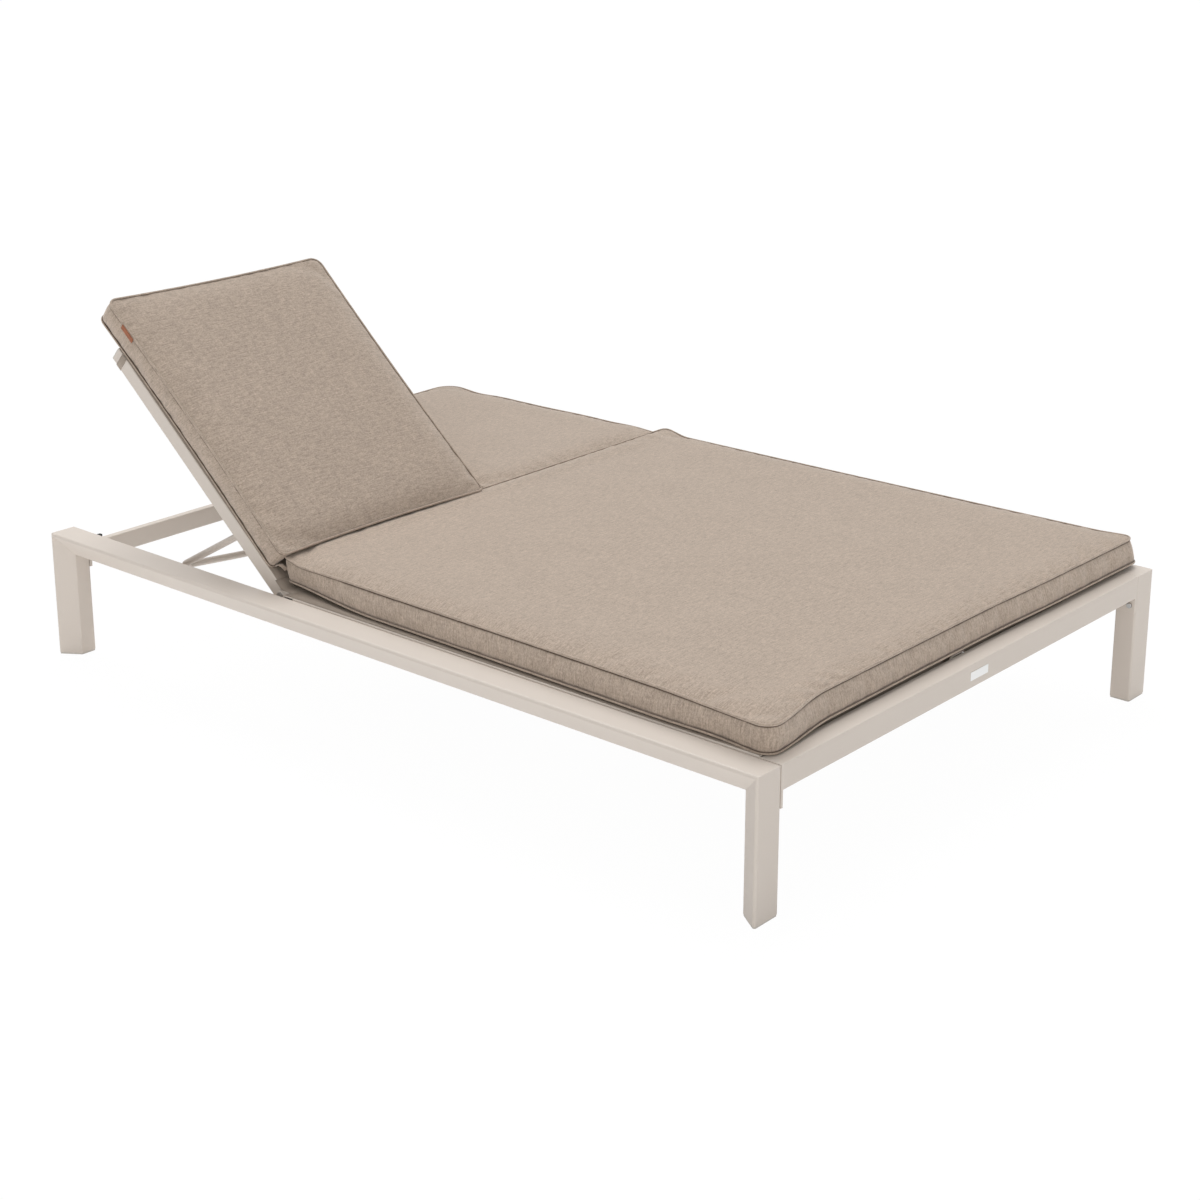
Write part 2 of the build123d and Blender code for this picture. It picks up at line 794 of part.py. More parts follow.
def build_frame():
    for name, side in sides.items():
        rail = drilled(side_rail(), outer_screw_places(), inner_x - overrun, inner_x + rail_wall + overrun,
                       screw_diameter)
        save(mirrored(rail, side), f"side_rail_{name}")
        save(mirrored(drilled_leg(-1), side), f"leg_foot_{name}")
        save(mirrored(drilled_leg(1), side), f"leg_head_{name}")
    save(both_sides([glide(-1), glide(1)]), "leg_glides")
    save(foot_rail(), "foot_rail")
    save(head_rail(), "head_rail")
    save(both_sides([flange(-1)]), "foot_rail_flanges")
    save(both_sides([flange(1)]), "head_rail_flanges")
    bolts = [frame_bolt(y, z) for end in (-1, 1) for y, z in bolt_places(end)]
    save(both_sides(bolts), "frame_bolts")
    save(blank_plate(), "blank_plate")


def build_seat():
    beam = drilled(back_centre_beam(), inner_screw_places(), -beam_width, beam_width, screw_diameter)
    save(hinge_cross_rail(), "hinge_cross_rail")
    save(seat_centre_beam(), "seat_centre_beam")
    save(beam, "back_centre_beam")
    save(both_sides(hinge_ears()), "hinge_ears")
    save(both_sides(hinge_pins()), "hinge_pins")
    save(both_sides(rack_screws()), "rack_screws")
    save(both_sides(head_buffers()), "head_buffers")
    save(seat_cushion(), "seat_cushion")
    for name, side in sides.items():
        save(mirrored(seat_side_bar(), side), f"seat_side_bar_{name}")
        save(mirrored(seat_sling(), side), f"seat_sling_{name}")
        bars = [mirrored(spreader(share), side) for share in spreader_spacing_shares]
        save(group(bars), f"seat_spreaders_{name}")
        save(mirrored(outer_rack(), side), f"rack_outer_{name}")
        save(mirrored(inner_rack(), side), f"rack_inner_{name}")


def build_backs():
    inner, outer = back_rails()
    for name in sides:
        pieces = {
            "inner_rail": inner,
            "outer_rail": outer,
            "top_bar": back_top_bar(),
            "bottom_bar": back_bottom_bar_tube(),
            "sling": back_sling(),
            "end_caps": group(back_end_caps()),
            "hinge_plugs": group(back_hinge_plugs()),
            "bail_pins": group(bail_pins()),
            "strap": back_strap(),
            "cushion": back_cushion(front_starts[name], cushion_shifts[name]),
        }
        for piece, shape in pieces.items():
            save(place_on_back(shape, name), f"back_{name}_{piece}")
        save(place_on_bail(bail(), name), f"bail_{name}")
        save(place_on_bail(group(foot_sleeves()), name), f"bail_{name}_foot_sleeves")
    save(place_on_back(leather_tab(), "left"), "back_left_leather_tab")


os.makedirs("parts", exist_ok=True)
build_frame()
build_seat()
build_backs()
print("hinge axis", hinge_y, hinge_height)
print("bail pivot at rest", pivot_place(raised_angle), pivot_height(raised_angle))
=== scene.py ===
import json
from math import cos, exp, pi, radians, sin, sqrt, tanh

import bpy
from mathutils import Matrix, Vector, noise


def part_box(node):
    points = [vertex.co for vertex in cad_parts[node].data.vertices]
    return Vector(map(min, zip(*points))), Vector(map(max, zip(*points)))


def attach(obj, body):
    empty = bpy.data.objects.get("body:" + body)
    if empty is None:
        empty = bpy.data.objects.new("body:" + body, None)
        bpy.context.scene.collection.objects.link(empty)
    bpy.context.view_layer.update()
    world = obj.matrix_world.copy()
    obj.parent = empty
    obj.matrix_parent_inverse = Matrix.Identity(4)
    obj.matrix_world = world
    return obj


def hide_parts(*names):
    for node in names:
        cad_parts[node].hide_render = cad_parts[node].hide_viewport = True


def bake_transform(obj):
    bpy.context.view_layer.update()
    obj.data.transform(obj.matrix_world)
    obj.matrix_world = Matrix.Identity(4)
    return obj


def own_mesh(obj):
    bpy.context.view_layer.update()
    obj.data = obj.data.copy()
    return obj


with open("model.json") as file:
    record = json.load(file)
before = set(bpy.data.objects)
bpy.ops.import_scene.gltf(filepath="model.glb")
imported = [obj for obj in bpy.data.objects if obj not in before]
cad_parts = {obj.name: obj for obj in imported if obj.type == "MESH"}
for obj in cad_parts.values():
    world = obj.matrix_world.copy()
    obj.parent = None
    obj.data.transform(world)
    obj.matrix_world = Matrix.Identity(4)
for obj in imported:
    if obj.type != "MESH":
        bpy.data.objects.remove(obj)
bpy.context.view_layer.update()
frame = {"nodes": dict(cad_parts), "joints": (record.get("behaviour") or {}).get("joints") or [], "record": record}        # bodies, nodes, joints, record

scene = bpy.context.scene
print("frame loaded:", len(frame["nodes"]), "nodes")

# camera, lamps, floor
cameraLook = {
    "place": (-3.6811, -3.2637, 1.9866),
    "turn": 49.149,          # degrees from +Y towards +X
    "dip": 17.251,           # degrees below level
    "lens": 67.84,
    "shiftY": -0.1,
}
lightLook = {
    "skyStrength": 0.31,     # what the object gets from the white room
    "lamps": {               # turn from +Y towards +X and dip of the light's way, strength, spread
        "rearLight": (222, 64, 2.17, 50),
        "sideFill": (52, 36, 0.85, 60),
    },
    "floorColour": (1.0, 1.0, 1.0, 1),
    "floorHalf": 30,
    "floorGlow": 0.20,       # the studio floor is lit more than the object
    "floorWhite": 0.97,      # how much of the floor the camera sees as plain white
}


def makeCamera(look):
    data = bpy.data.cameras.new("photoCamera")
    data.lens = look["lens"]
    data.sensor_width = 36
    data.shift_y = look["shiftY"]
    data.clip_end = 100
    camera = bpy.data.objects.new("photoCamera", data)
    camera.location = look["place"]
    camera.rotation_euler = (radians(90 - look["dip"]), 0, radians(-look["turn"]))
    scene.collection.objects.link(camera)
    scene.camera = camera


def put(tree, kind, inputs=None, **settings):
    node = tree.nodes.new("ShaderNode" + kind)
    for name, value in settings.items():
        setattr(node, name, value)
    for name, value in (inputs or {}).items():
        plug(tree, value, node.inputs[name])
    return node


def plug(tree, value, socket):
    if isinstance(value, bpy.types.NodeSocket):
        tree.links.new(value, socket)
    else:
        socket.default_value = value


def maths(tree, operation, first, second=0.0, third=None, clamp=False):
    node = put(tree, "Math", {0: first, 1: second}, operation=operation, use_clamp=clamp)
    if third is not None:
        plug(tree, third, node.inputs[2])
    return node.outputs[0]


def seenBy(tree, *rays):
    # 1 for these kinds of ray, 0 for the light that falls on the object
    path = put(tree, "LightPath")
    seen = 0.0
    for ray in rays:
        seen = maths(tree, "MAXIMUM", seen, path.outputs[f"Is {ray} Ray"])
    return seen


def newMaterial(name):
    material = bpy.data.materials.new(name)
    material.use_nodes = True
    material.node_tree.nodes.clear()
    return material, material.node_tree


def makeLight(look):
    world = bpy.data.worlds.new("whiteRoom")
    scene.world = world
    world.use_nodes = True
    tree = world.node_tree
    tree.nodes.clear()
    seen = seenBy(tree, "Camera", "Glossy", "Transmission")
    dim = maths(tree, "MULTIPLY_ADD", seen, 1 - look["skyStrength"], look["skyStrength"])
    back = put(tree, "Background", {"Color": (1, 1, 1, 1), "Strength": dim})
    out = put(tree, "OutputWorld")
    tree.links.new(back.outputs[0], out.inputs[0])
    for name, (turn, dip, strength, spread) in look["lamps"].items():
        lamp = bpy.data.lights.new(name, "SUN")
        lamp.energy = strength
        lamp.angle = radians(spread)
        stand = bpy.data.objects.new(name, lamp)
        stand.rotation_euler = (radians(90 - dip), 0, radians(-turn))
        scene.collection.objects.link(stand)


def makeFloor(look):
    half = look["floorHalf"]
    corners = [(-half, -half, 0), (half, -half, 0), (half, half, 0), (-half, half, 0)]
    mesh = bpy.data.meshes.new("floor")
    mesh.from_pydata(corners, [], [(0, 1, 2, 3)])
    floor = bpy.data.objects.new("floor", mesh)
    scene.collection.objects.link(floor)
    material, tree = newMaterial("paleFloor")
    lit = put(tree, "BsdfDiffuse", {"Color": look["floorColour"]})
    glow = put(tree, "Emission", {"Color": (1, 1, 1, 1), "Strength": look["floorGlow"]})
    plain = put(tree, "AddShader", {0: lit.outputs[0], 1: glow.outputs[0]})
    white = put(tree, "Emission", {"Color": (1, 1, 1, 1), "Strength": 1.0})
    share = maths(tree, "MULTIPLY", seenBy(tree, "Camera", "Glossy"), look["floorWhite"])
    mix = put(tree, "MixShader", {0: share, 1: plain.outputs[0], 2: white.outputs[0]})
    out = put(tree, "OutputMaterial")
    tree.links.new(mix.outputs[0], out.inputs[0])
    mesh.materials.append(material)


makeCamera(cameraLook)
makeLight(lightLook)
makeFloor(lightLook)
scene.view_settings.view_transform = "Standard"
print("camera, lamps and floor made")


# shader groups
def newGroup(name, takes, gives):
    tree = bpy.data.node_groups.new(name, "ShaderNodeTree")
    for side, sockets in (("INPUT", takes), ("OUTPUT", gives)):
        for socketName, kind in sockets.items():
            tree.interface.new_socket(socketName, in_out=side, socket_type="NodeSocket" + kind)
    inside = tree.nodes.new("NodeGroupInput")
    outside = tree.nodes.new("NodeGroupOutput")
    return tree, inside.outputs, outside.inputs


def scaled(tree, vector, across, along, up=1.0):
    stretch = put(tree, "CombineXYZ", {0: across, 1: along, 2: up}).outputs[0]
    return put(tree, "VectorMath", {0: vector, 1: stretch}, operation="MULTIPLY").outputs[0]


def dimmed(tree, colour, share):
    return put(tree, "VectorMath", {0: colour, 3: share}, operation="SCALE").outputs[0]


def blendColour(tree, share, first, second):
    node = put(tree, "Mix", data_type="RGBA")
    plug(tree, share, node.inputs[0])
    plug(tree, first, node.inputs[6])
    plug(tree, second, node.inputs[7])
    return node.outputs[2]


def speckle(tree, vector, scale, detail=2.0, roughness=0.5):
    inputs = {"Vector": vector, "Scale": scale, "Detail": detail, "Roughness": roughness}
    return put(tree, "TexNoise", inputs).outputs[0]


def aroundZero(tree, value, scale):
    # a noise value from 0 to 1, moved to lie round zero
    return maths(tree, "MULTIPLY", maths(tree, "SUBTRACT", value, 0.5), scale)


def melangeGroup():
    # mixed yarn: streaks along the weft, soft mottles, single light and dark fibres, slow clouds, and
    # painted shade from the Shade mask
    tree, takes, gives = newGroup("melangeYarn", {
        "Cloth": "Vector", "Colour": "Color", "Contrast": "Float", "Thread": "Float",
        "Shade": "Float", "Shade Colour": "Color",
    }, {"Colour": "Color", "Height": "Float"})
    cloth = takes["Cloth"]
    perThread = maths(tree, "DIVIDE", 1.0, takes["Thread"])
    layers = (               # size across X and along Y in metres, detail, weight
        (0.028, 0.0034, 2.0, 0.42),
        (0.0050, 0.0300, 2.0, 0.16),
        (0.0115, 0.0085, 3.0, 0.30),
        (0.0046, 0.0028, 2.0, 0.52),
        (0.0012, 0.0034, 1.0, 0.30),
        (0.11, 0.09, 3.0, 0.10),
    )
    total = 1.0
    for wide, tall, detail, weight in layers:
        cells = speckle(tree, scaled(tree, cloth, 1 / wide, 1 / tall), 1.0, detail, 0.6)
        share = aroundZero(tree, cells, takes["Contrast"])
        total = maths(tree, "ADD", total, maths(tree, "MULTIPLY", share, weight))
    tone = dimmed(tree, takes["Colour"], total)
    warmth = speckle(tree, scaled(tree, cloth, 60, 90), 1.0, 2.0)
    tone = blendColour(tree, maths(tree, "MULTIPLY", warmth, 0.16), tone, (0.50, 0.385, 0.29, 1))
    # painted shade: seams, welts and the underside's rim are darkened towards the Shade Colour
    tone = blendColour(tree, takes["Shade"], tone, takes["Shade Colour"])
    ripples = []
    for part in (0, 1):
        place = put(tree, "SeparateXYZ", {0: cloth}).outputs[part]
        turned = maths(tree, "MULTIPLY", place, maths(tree, "MULTIPLY", perThread, pi))
        ripples.append(maths(tree, "ABSOLUTE", maths(tree, "SINE", turned)))
    weave = maths(tree, "MULTIPLY", ripples[0], ripples[1])
    height = maths(tree, "ADD", maths(tree, "MULTIPLY", weave, 0.7), maths(tree, "MULTIPLY", total, 0.5))
    tree.links.new(tone, gives["Colour"])
    tree.links.new(height, gives["Height"])
    return tree


def basketGroup():
    # flat bands that pass over and under each other
    tree, takes, gives = newGroup("basketWeave", {
        "Cloth": "Vector", "Warp": "Color", "Weft": "Color", "Pitch": "Float",
    }, {"Colour": "Color", "Height": "Float"})
    split = put(tree, "SeparateXYZ", {0: takes["Cloth"]}).outputs
    turns = maths(tree, "DIVIDE", pi, takes["Pitch"])
    across = maths(tree, "SINE", maths(tree, "MULTIPLY", split[0], turns))
    along = maths(tree, "SINE", maths(tree, "MULTIPLY", split[1], turns))
    over = maths(tree, "MULTIPLY", across, along)
    share = maths(tree, "MULTIPLY_ADD", over, 2.5, 0.5, clamp=True)
    colour = blendColour(tree, share, takes["Warp"], takes["Weft"])
    worn = speckle(tree, takes["Cloth"], 14.0, 4.0)
    colour = dimmed(tree, colour, maths(tree, "MULTIPLY_ADD", worn, 0.3, 0.85))
    height = maths(tree, "ABSOLUTE", over)
    tree.links.new(colour, gives["Colour"])
    tree.links.new(height, gives["Height"])
    return tree


def coatGroup():
    # sprayed or moulded skin: fine pitted grain, slow tone drift, edges turned towards the Edge Colour;
    # where that is paler, it is partly rubbed wear and partly a painted highlight
    tree, takes, gives = newGroup("sprayedSkin", {
        "Colour": "Color", "Edge Colour": "Color", "Grain": "Float", "Drift": "Float", "Gloss": "Float",
    }, {"Colour": "Color", "Roughness": "Float", "Height": "Float"})
    place = put(tree, "TexCoord").outputs["Object"]
    perGrain = maths(tree, "DIVIDE", 1.0, takes["Grain"])
    grain = speckle(tree, place, perGrain, 2.0, 0.6)
    slow = speckle(tree, place, 6.0, 3.0)
    smudge = speckle(tree, place, 23.0, 4.0, 0.6)
    drift = aroundZero(tree, slow, takes["Drift"])
    specks = aroundZero(tree, grain, 0.10)
    tone = maths(tree, "ADD", maths(tree, "ADD", drift, specks), 1.0)
    colour = dimmed(tree, takes["Colour"], tone)
    # edge mask from the rounded normal: the paler edge colour is partly wear and partly a painted highlight
    soft = put(tree, "Bevel", {"Radius": 0.0022}, samples=4).outputs[0]
    true = put(tree, "NewGeometry").outputs["Normal"]
    along = put(tree, "VectorMath", {0: soft, 1: true}, operation="DOT_PRODUCT").outputs["Value"]
    edge = maths(tree, "MULTIPLY", maths(tree, "SUBTRACT", 1.0, along), 4.0, clamp=True)
    edge = maths(tree, "MULTIPLY", edge, maths(tree, "MULTIPLY", smudge, 1.1), clamp=True)
    tree.links.new(blendColour(tree, edge, colour, takes["Edge Colour"]), gives["Colour"])
    rough = maths(tree, "ADD", takes["Gloss"], aroundZero(tree, smudge, 0.18))
    tree.links.new(rough, gives["Roughness"])
    tree.links.new(grain, gives["Height"])
    return tree


def brushedGroup():
    # turned or drawn metal: fine lines, faint stains
    tree, takes, gives = newGroup("drawnMetal", {
        "Colour": "Color", "Lines": "Float", "Gloss": "Float",
    }, {"Colour": "Color", "Roughness": "Float", "Height": "Float"})
    place = put(tree, "TexCoord").outputs["Object"]
    lines = speckle(tree, scaled(tree, place, takes["Lines"], 60.0, 60.0), 1.0, 2.0)
    stain = speckle(tree, place, 70.0, 3.0)
    tone = maths(tree, "MULTIPLY_ADD", stain, 0.3, 0.85)
    tree.links.new(dimmed(tree, takes["Colour"], tone), gives["Colour"])
    rough = maths(tree, "ADD", takes["Gloss"], maths(tree, "MULTIPLY", lines, 0.15))
    tree.links.new(rough, gives["Roughness"])
    tree.links.new(lines, gives["Height"])
    return tree


def hideGroup():
    # leather: small pores inside larger creased cells
    tree, takes, gives = newGroup("leatherGrain", {
        "Colour": "Color", "Cell": "Float",
    }, {"Colour": "Color", "Height": "Float"})
    place = put(tree, "TexCoord").outputs["Object"]
    perCell = maths(tree, "DIVIDE", 1.0, takes["Cell"])
    cells = put(tree, "TexVoronoi", {"Vector": place, "Scale": perCell}, feature="DISTANCE_TO_EDGE")
    crease = maths(tree, "MULTIPLY", cells.outputs[0], 4.0, clamp=True)
    stain = speckle(tree, place, 160.0, 4.0)
    paler = maths(tree, "MULTIPLY_ADD", crease, 0.25, 0.75)
    tone = maths(tree, "MULTIPLY", maths(tree, "ADD", stain, 0.55), paler)
    tree.links.new(dimmed(tree, takes["Colour"], tone), gives["Colour"])
    tree.links.new(crease, gives["Height"])
    return tree


groups = {
    "melange": melangeGroup(),
    "basket": basketGroup(),
    "coat": coatGroup(),
    "brushed": brushedGroup(),
    "hide": hideGroup(),
}


def finish(name, group, values, shader, bump, clothMap=False, seamShade=False):
    material, tree = newMaterial(name)
    effect = put(tree, "Group", values, node_tree=groups[group])
    if clothMap:
        cloth = put(tree, "Attribute", attribute_name="clothMap", attribute_type="GEOMETRY")
        tree.links.new(cloth.outputs["Vector"], effect.inputs["Cloth"])
    if seamShade:
        shade = put(tree, "Attribute", attribute_name="seamShade", attribute_type="GEOMETRY")
        tree.links.new(shade.outputs["Fac"], effect.inputs["Shade"])
    skin = put(tree, "BsdfPrincipled", shader)
    tree.links.new(effect.outputs["Colour"], skin.inputs["Base Color"])
    if "Roughness" in effect.outputs:
        tree.links.new(effect.outputs["Roughness"], skin.inputs["Roughness"])
    strength, depth = bump
    relief = put(tree, "Bump", {"Strength": strength, "Distance": depth, "Height": effect.outputs["Height"]})
    tree.links.new(relief.outputs[0], skin.inputs["Normal"])
    out = put(tree, "OutputMaterial")
    tree.links.new(skin.outputs[0], out.inputs[0])
    return material


finishes = {
    "frame_paint": finish("sandPowderCoat", "coat", {
        "Colour": (0.615, 0.550, 0.490, 1),
        "Edge Colour": (0.70, 0.64, 0.58, 1),
        "Grain": 0.0011,
        "Drift": 0.03,
        "Gloss": 0.44,
    }, {"Specular IOR Level": 0.45}, (0.12, 0.0003)),
    "plastic": finish("sandNylon", "coat", {
        "Colour": (0.56, 0.52, 0.47, 1),
        "Edge Colour": (0.66, 0.62, 0.57, 1),
        "Grain": 0.0007,
        "Drift": 0.03,
        "Gloss": 0.5,
    }, {"Specular IOR Level": 0.4}, (0.2, 0.0002)),
    "dark_plastic": finish("darkNylon", "coat", {
        "Colour": (0.045, 0.042, 0.038, 1),
        "Edge Colour": (0.09, 0.085, 0.08, 1),
        "Grain": 0.0008,
        "Drift": 0.03,
        "Gloss": 0.46,
    }, {"Specular IOR Level": 0.4}, (0.25, 0.0002)),
    "rubber": finish("blackRubber", "coat", {
        "Colour": (0.03, 0.03, 0.03, 1),
        "Edge Colour": (0.07, 0.07, 0.07, 1),
        "Grain": 0.0016,
        "Drift": 0.03,
        "Gloss": 0.72,
    }, {"Specular IOR Level": 0.3}, (0.4, 0.0003)),
    "label_plate": finish("whitePlate", "coat", {
        "Colour": (0.86, 0.86, 0.85, 1),
        "Edge Colour": (0.78, 0.78, 0.77, 1),
        "Grain": 0.0009,
        "Drift": 0.02,
        "Gloss": 0.3,
    }, {"Specular IOR Level": 0.5}, (0.05, 0.0002)),
    "steel": finish("stainlessSteel", "brushed", {
        "Colour": (0.42, 0.41, 0.40, 1),
        "Lines": 900.0,
        "Gloss": 0.3,
    }, {"Metallic": 1.0}, (0.1, 0.0002)),
    "cushion_fabric": finish("beigeMelange", "melange", {
        "Colour": (0.414, 0.334, 0.270, 1),
        "Contrast": 2.0,
        "Thread": 0.0011,
        "Shade Colour": (0.075, 0.048, 0.032, 1),
    }, {"Roughness": 0.95, "Specular IOR Level": 0.15, "Sheen Weight": 0.55, "Sheen Roughness": 0.5,
        "Sheen Tint": (1.0, 0.92, 0.85, 1)}, (0.3, 0.0003), clothMap=True, seamShade=True),
    "strap_fabric": finish("beigeBand", "basket", {
        "Warp": (0.42, 0.35, 0.29, 1),
        "Weft": (0.34, 0.285, 0.235, 1),
        "Pitch": 0.0016,
    }, {"Roughness": 0.85, "Specular IOR Level": 0.25, "Sheen Weight": 0.2}, (0.5, 0.0004), clothMap=True),
    "sling_mesh": finish("taupeMesh", "basket", {
        "Warp": (0.36, 0.30, 0.245, 1),
        "Weft": (0.27, 0.22, 0.18, 1),
        "Pitch": 0.0018,
    }, {"Roughness": 0.7, "Specular IOR Level": 0.35}, (0.6, 0.0005), clothMap=True),
    "leather": finish("brownLeather", "hide", {
        "Colour": (0.34, 0.115, 0.05, 1),
        "Cell": 0.0013,
    }, {"Roughness": 0.6, "Specular IOR Level": 0.4}, (0.35, 0.0003)),
}
slotOf = {row["node"]: row["material_slot"] for row in frame["record"]["subparts"]}
for nodeName, node in frame["nodes"].items():
    node.data.materials.clear()
    node.data.materials.append(finishes[slotOf[nodeName]])
print("finishes made:", len(finishes))


# mesh helpers
def newPiece(name, points, faces, slot, body, corners=None, shade=None):
    mesh = bpy.data.meshes.new(name)
    mesh.from_pydata(points, [], faces)
    if corners:
        layer = mesh.uv_layers.new(name="clothMap")
        flat = [value for face in corners for corner in face for value in corner]
        layer.data.foreach_set("uv", flat)
    mesh.materials.append(finishes[slot])
    if shade:
        mesh.attributes.new("seamShade", "FLOAT", "POINT").data.foreach_set("value", shade)
    mesh.polygons.foreach_set("use_smooth", [True] * len(faces))
    mesh.update()
    piece = bpy.data.objects.new(name, mesh)
    scene.collection.objects.link(piece)
    if body:                 # a blended piece rides on none
        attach(piece, body)
    return piece


def bake(piece):
    # what the modifiers make becomes the mesh
    bpy.context.view_layer.update()
    depsgraph = bpy.context.evaluated_depsgraph_get()
    seen = piece.evaluated_get(depsgraph)
    mesh = bpy.data.meshes.new_from_object(seen, preserve_all_data_layers=True, depsgraph=depsgraph)
    piece.modifiers.clear()
    old = piece.data
    piece.data = mesh
    bpy.data.meshes.remove(old)


def turnPiece(piece, matrix):
    piece.data.transform(matrix)
    piece.data.update()


def smoothStep(low, high, value):
    share = min(max((value - low) / (high - low), 0), 1)
    return share * share * (3 - 2 * share)


def gridSquares(across, along):
    # the four corners of each square of a grid of points, row by row
    row = across + 1
    for j in range(along):
        for i in range(across):
            yield i + j * row, i + 1 + j * row, i + 1 + (j + 1) * row, i + (j + 1) * row


def gridRim(across, along):
    # the grid's outer points, anticlockwise
    row = across + 1
    rim = [i for i in range(across)] + [across + j * row for j in range(along)]
    rim += [i + along * row for i in range(across, 0, -1)] + [j * row for j in range(along, 0, -1)]
    return rim


def sheetFaces(across, along, cloth, up, down):
    # faces of a thin sheet whose layers start at these points, and each corner's place on the cloth
    faces, corners = [], []
    for square in gridSquares(across, along):
        uv = [cloth[k] for k in square]
        faces += [[up + k for k in square], [down + k for k in reversed(square)]]
        corners += [uv, list(reversed(uv))]
    rim = gridRim(across, along)
    for one, two in zip(rim, rim[1:] + rim[:1]):
        faces.append([down + one, down + two, up + two, up + one])
        corners.append([cloth[k] for k in (one, two, two, one)])
    return faces, corners


def jointNamed(name):
    for joint in frame["joints"]:
        if joint["name"] == name:
            return joint


leftTilt = jointNamed("back_left_tilt")
hinge = Vector(leftTilt["pos_m"])
raised = -leftTilt["range_deg"][0]
toHinge = Matrix.Translation(hinge)
raiseLeft = toHinge @ Matrix.Rotation(radians(raised), 4, "X") @ toHinge.inverted()
print("left back raised by", round(raised, 2), "degrees")

# cushions
noiseSeeds = {"panel": 1.7, "gathers": 5.3, "band": 8.1, "welt": 3.1, "sling": 4.2}
clothStarts = {"underside": 3, "band": 5, "welt": 9}     # so that no two parts show the same cloth
cushionLook = {
    "cell": 0.014,
    "edgeStops": (0, 0.0035, 0.009, 0.018, 0.029),
    "corners": (0.030, 0.030, 0.030, 0.030),   # foot left, foot right, head right, head left
    "drawIn": 0.006,
    "seamLow": 0.3077,       # height of the lower welt
    "seamHigh": 0.3608,
    "underside": 0.3049,
    "undersideSoftness": 0.006,
    "undersideShade": 0.85,
    "shadeReach": 0.03,
    "rimShade": 0.85,
    "rimWidth": 0.0001,
    "crown": 0.012,
    "crownSoftness": 0.016,
    "boxing": 0.004,         # how far the side bands swell
    "seamInset": 0.0020,
    "crownBeforeFill": 0.5,
    "unevenness": 0.0012,
    "unevenPerMetre": 5,
    "unevenFrom": 0.1,       # full this far inside the seam
    "gathersPerMetre": 55,
    "gatherDepth": 0.0011,
    "gatherReach": 0.035,
    "gatherDrift": 9,
    "bandGather": 0.0012,
    "bandGathersPerMetre": 70,
    "bandGatherDrift": 1.5,
    "bandInset": (0.8, 1.0), # shares of the seam's inset, in the band's middle and near its seams
    "pose": lambda point, level: point,
    "crownShare": lambda point: 1.0,
    "bandRows": (0.045, 0.075, 0.11, 0.2, 0.35, 0.5, 0.65, 0.8, 0.89, 0.922, 0.955),
    "bandShades": {0.045: 0.9, 0.075: 0.4, 0.922: 0.9, 0.955: 1.0},
    "weltRadius": 0.0029,
    "weltSides": 12,
    "weltWobble": 0.10,
    "weltWobblesPerMetre": 60,
    "creaseFrom": 0.6,       # the welt's back and its side to the band lie in the shade from here on
    "creaseShade": 0.95,
    "backShade": 0.6,
}
fillLook = {
    "frames": 20,
    "pressure": 4,
    "grow": -0.012,
    "topCap": 0.009,         # farthest that the cover leaves its drawn shape
    "bandCap": 0.0035,
    "quality": 4,
    "mass": 0.25,
    "stretch": 15,
    "shear": 5,
    "bend": 0.5,
}


def stopsAlong(half, look):
    edge = look["edgeStops"]
    inner = half - edge[-1]
    count = max(2, round(2 * inner / look["cell"]))
    low = [-half + stop for stop in edge[:-1]]
    middle = [-inner + 2 * inner * i / count for i in range(count + 1)]
    return low + middle + [-value for value in reversed(low)]


def roundCorner(x, y, halfX, halfY, radius):
    # squares of the grid fan out round the corner
    if not isinstance(radius, float):
        radius = radius[(0 if x < 0 else 1) if y < 0 else (3 if x < 0 else 2)]
    overX = max(0, abs(x) - halfX + radius) / radius
    overY = max(0, abs(y) - halfY + radius) / radius
    if overX and overY:
        turnedX = overX * sqrt(1 - overY * overY / 2)
        turnedY = overY * sqrt(1 - overX * overX / 2)
        x = (halfX - radius + turnedX * radius) * (1 if x > 0 else -1)
        y = (halfY - radius + turnedY * radius) * (1 if y > 0 else -1)
    return x, y


def cushionPlace(look, x, y, level):
    # from the flat pattern to the place of the seam at this level, 0 below and 1 above
    halfX, halfY = look["half"]
    x, y = roundCorner(x, y, halfX, halfY, look["corners"])
    across, along = x / halfX, y / halfY
    place = Vector((0, 0, look["seamLow"] + (look["seamHigh"] - look["seamLow"]) * level))
    for low, high, signX, signY in zip(look["below"], look["above"], (-1, 1, 1, -1), (-1, -1, 1, 1)):
        weight = (1 + signX * across) * (1 + signY * along) / 4
        place.x += weight * (low[0] + (high[0] - low[0]) * level)
        place.y += weight * (low[1] + (high[1] - low[1]) * level)
    place.x -= look["drawIn"] * across * abs(across) * (1 - along * along)
    place.y -= look["drawIn"] * along * abs(along) * (1 - across * across)
    return look["pose"](place, level)


def outwardOf(line):
    # level directions out of a closed line that runs anticlockwise
    ways = []
    for k, point in enumerate(line):
        ahead = line[(k + 1) % len(line)] - line[k - 1]
        ways.append(Vector((ahead.y, -ahead.x, 0)).normalized())
    return ways


def pucker(look, x, y, inside):
    # short gathers that start at the seam and die away over the panel
    run = y if look["half"][0] - abs(x) < look["half"][1] - abs(y) else x
    place = Vector((run * look["gathersPerMetre"], inside * look["gatherDrift"], noiseSeeds["gathers"]))
    return look["gatherDepth"] * noise.noise(place) * exp(-inside / look["gatherReach"])


def insideBy(look, x, y):
    return min(look["half"][0] - abs(x), look["half"][1] - abs(y))


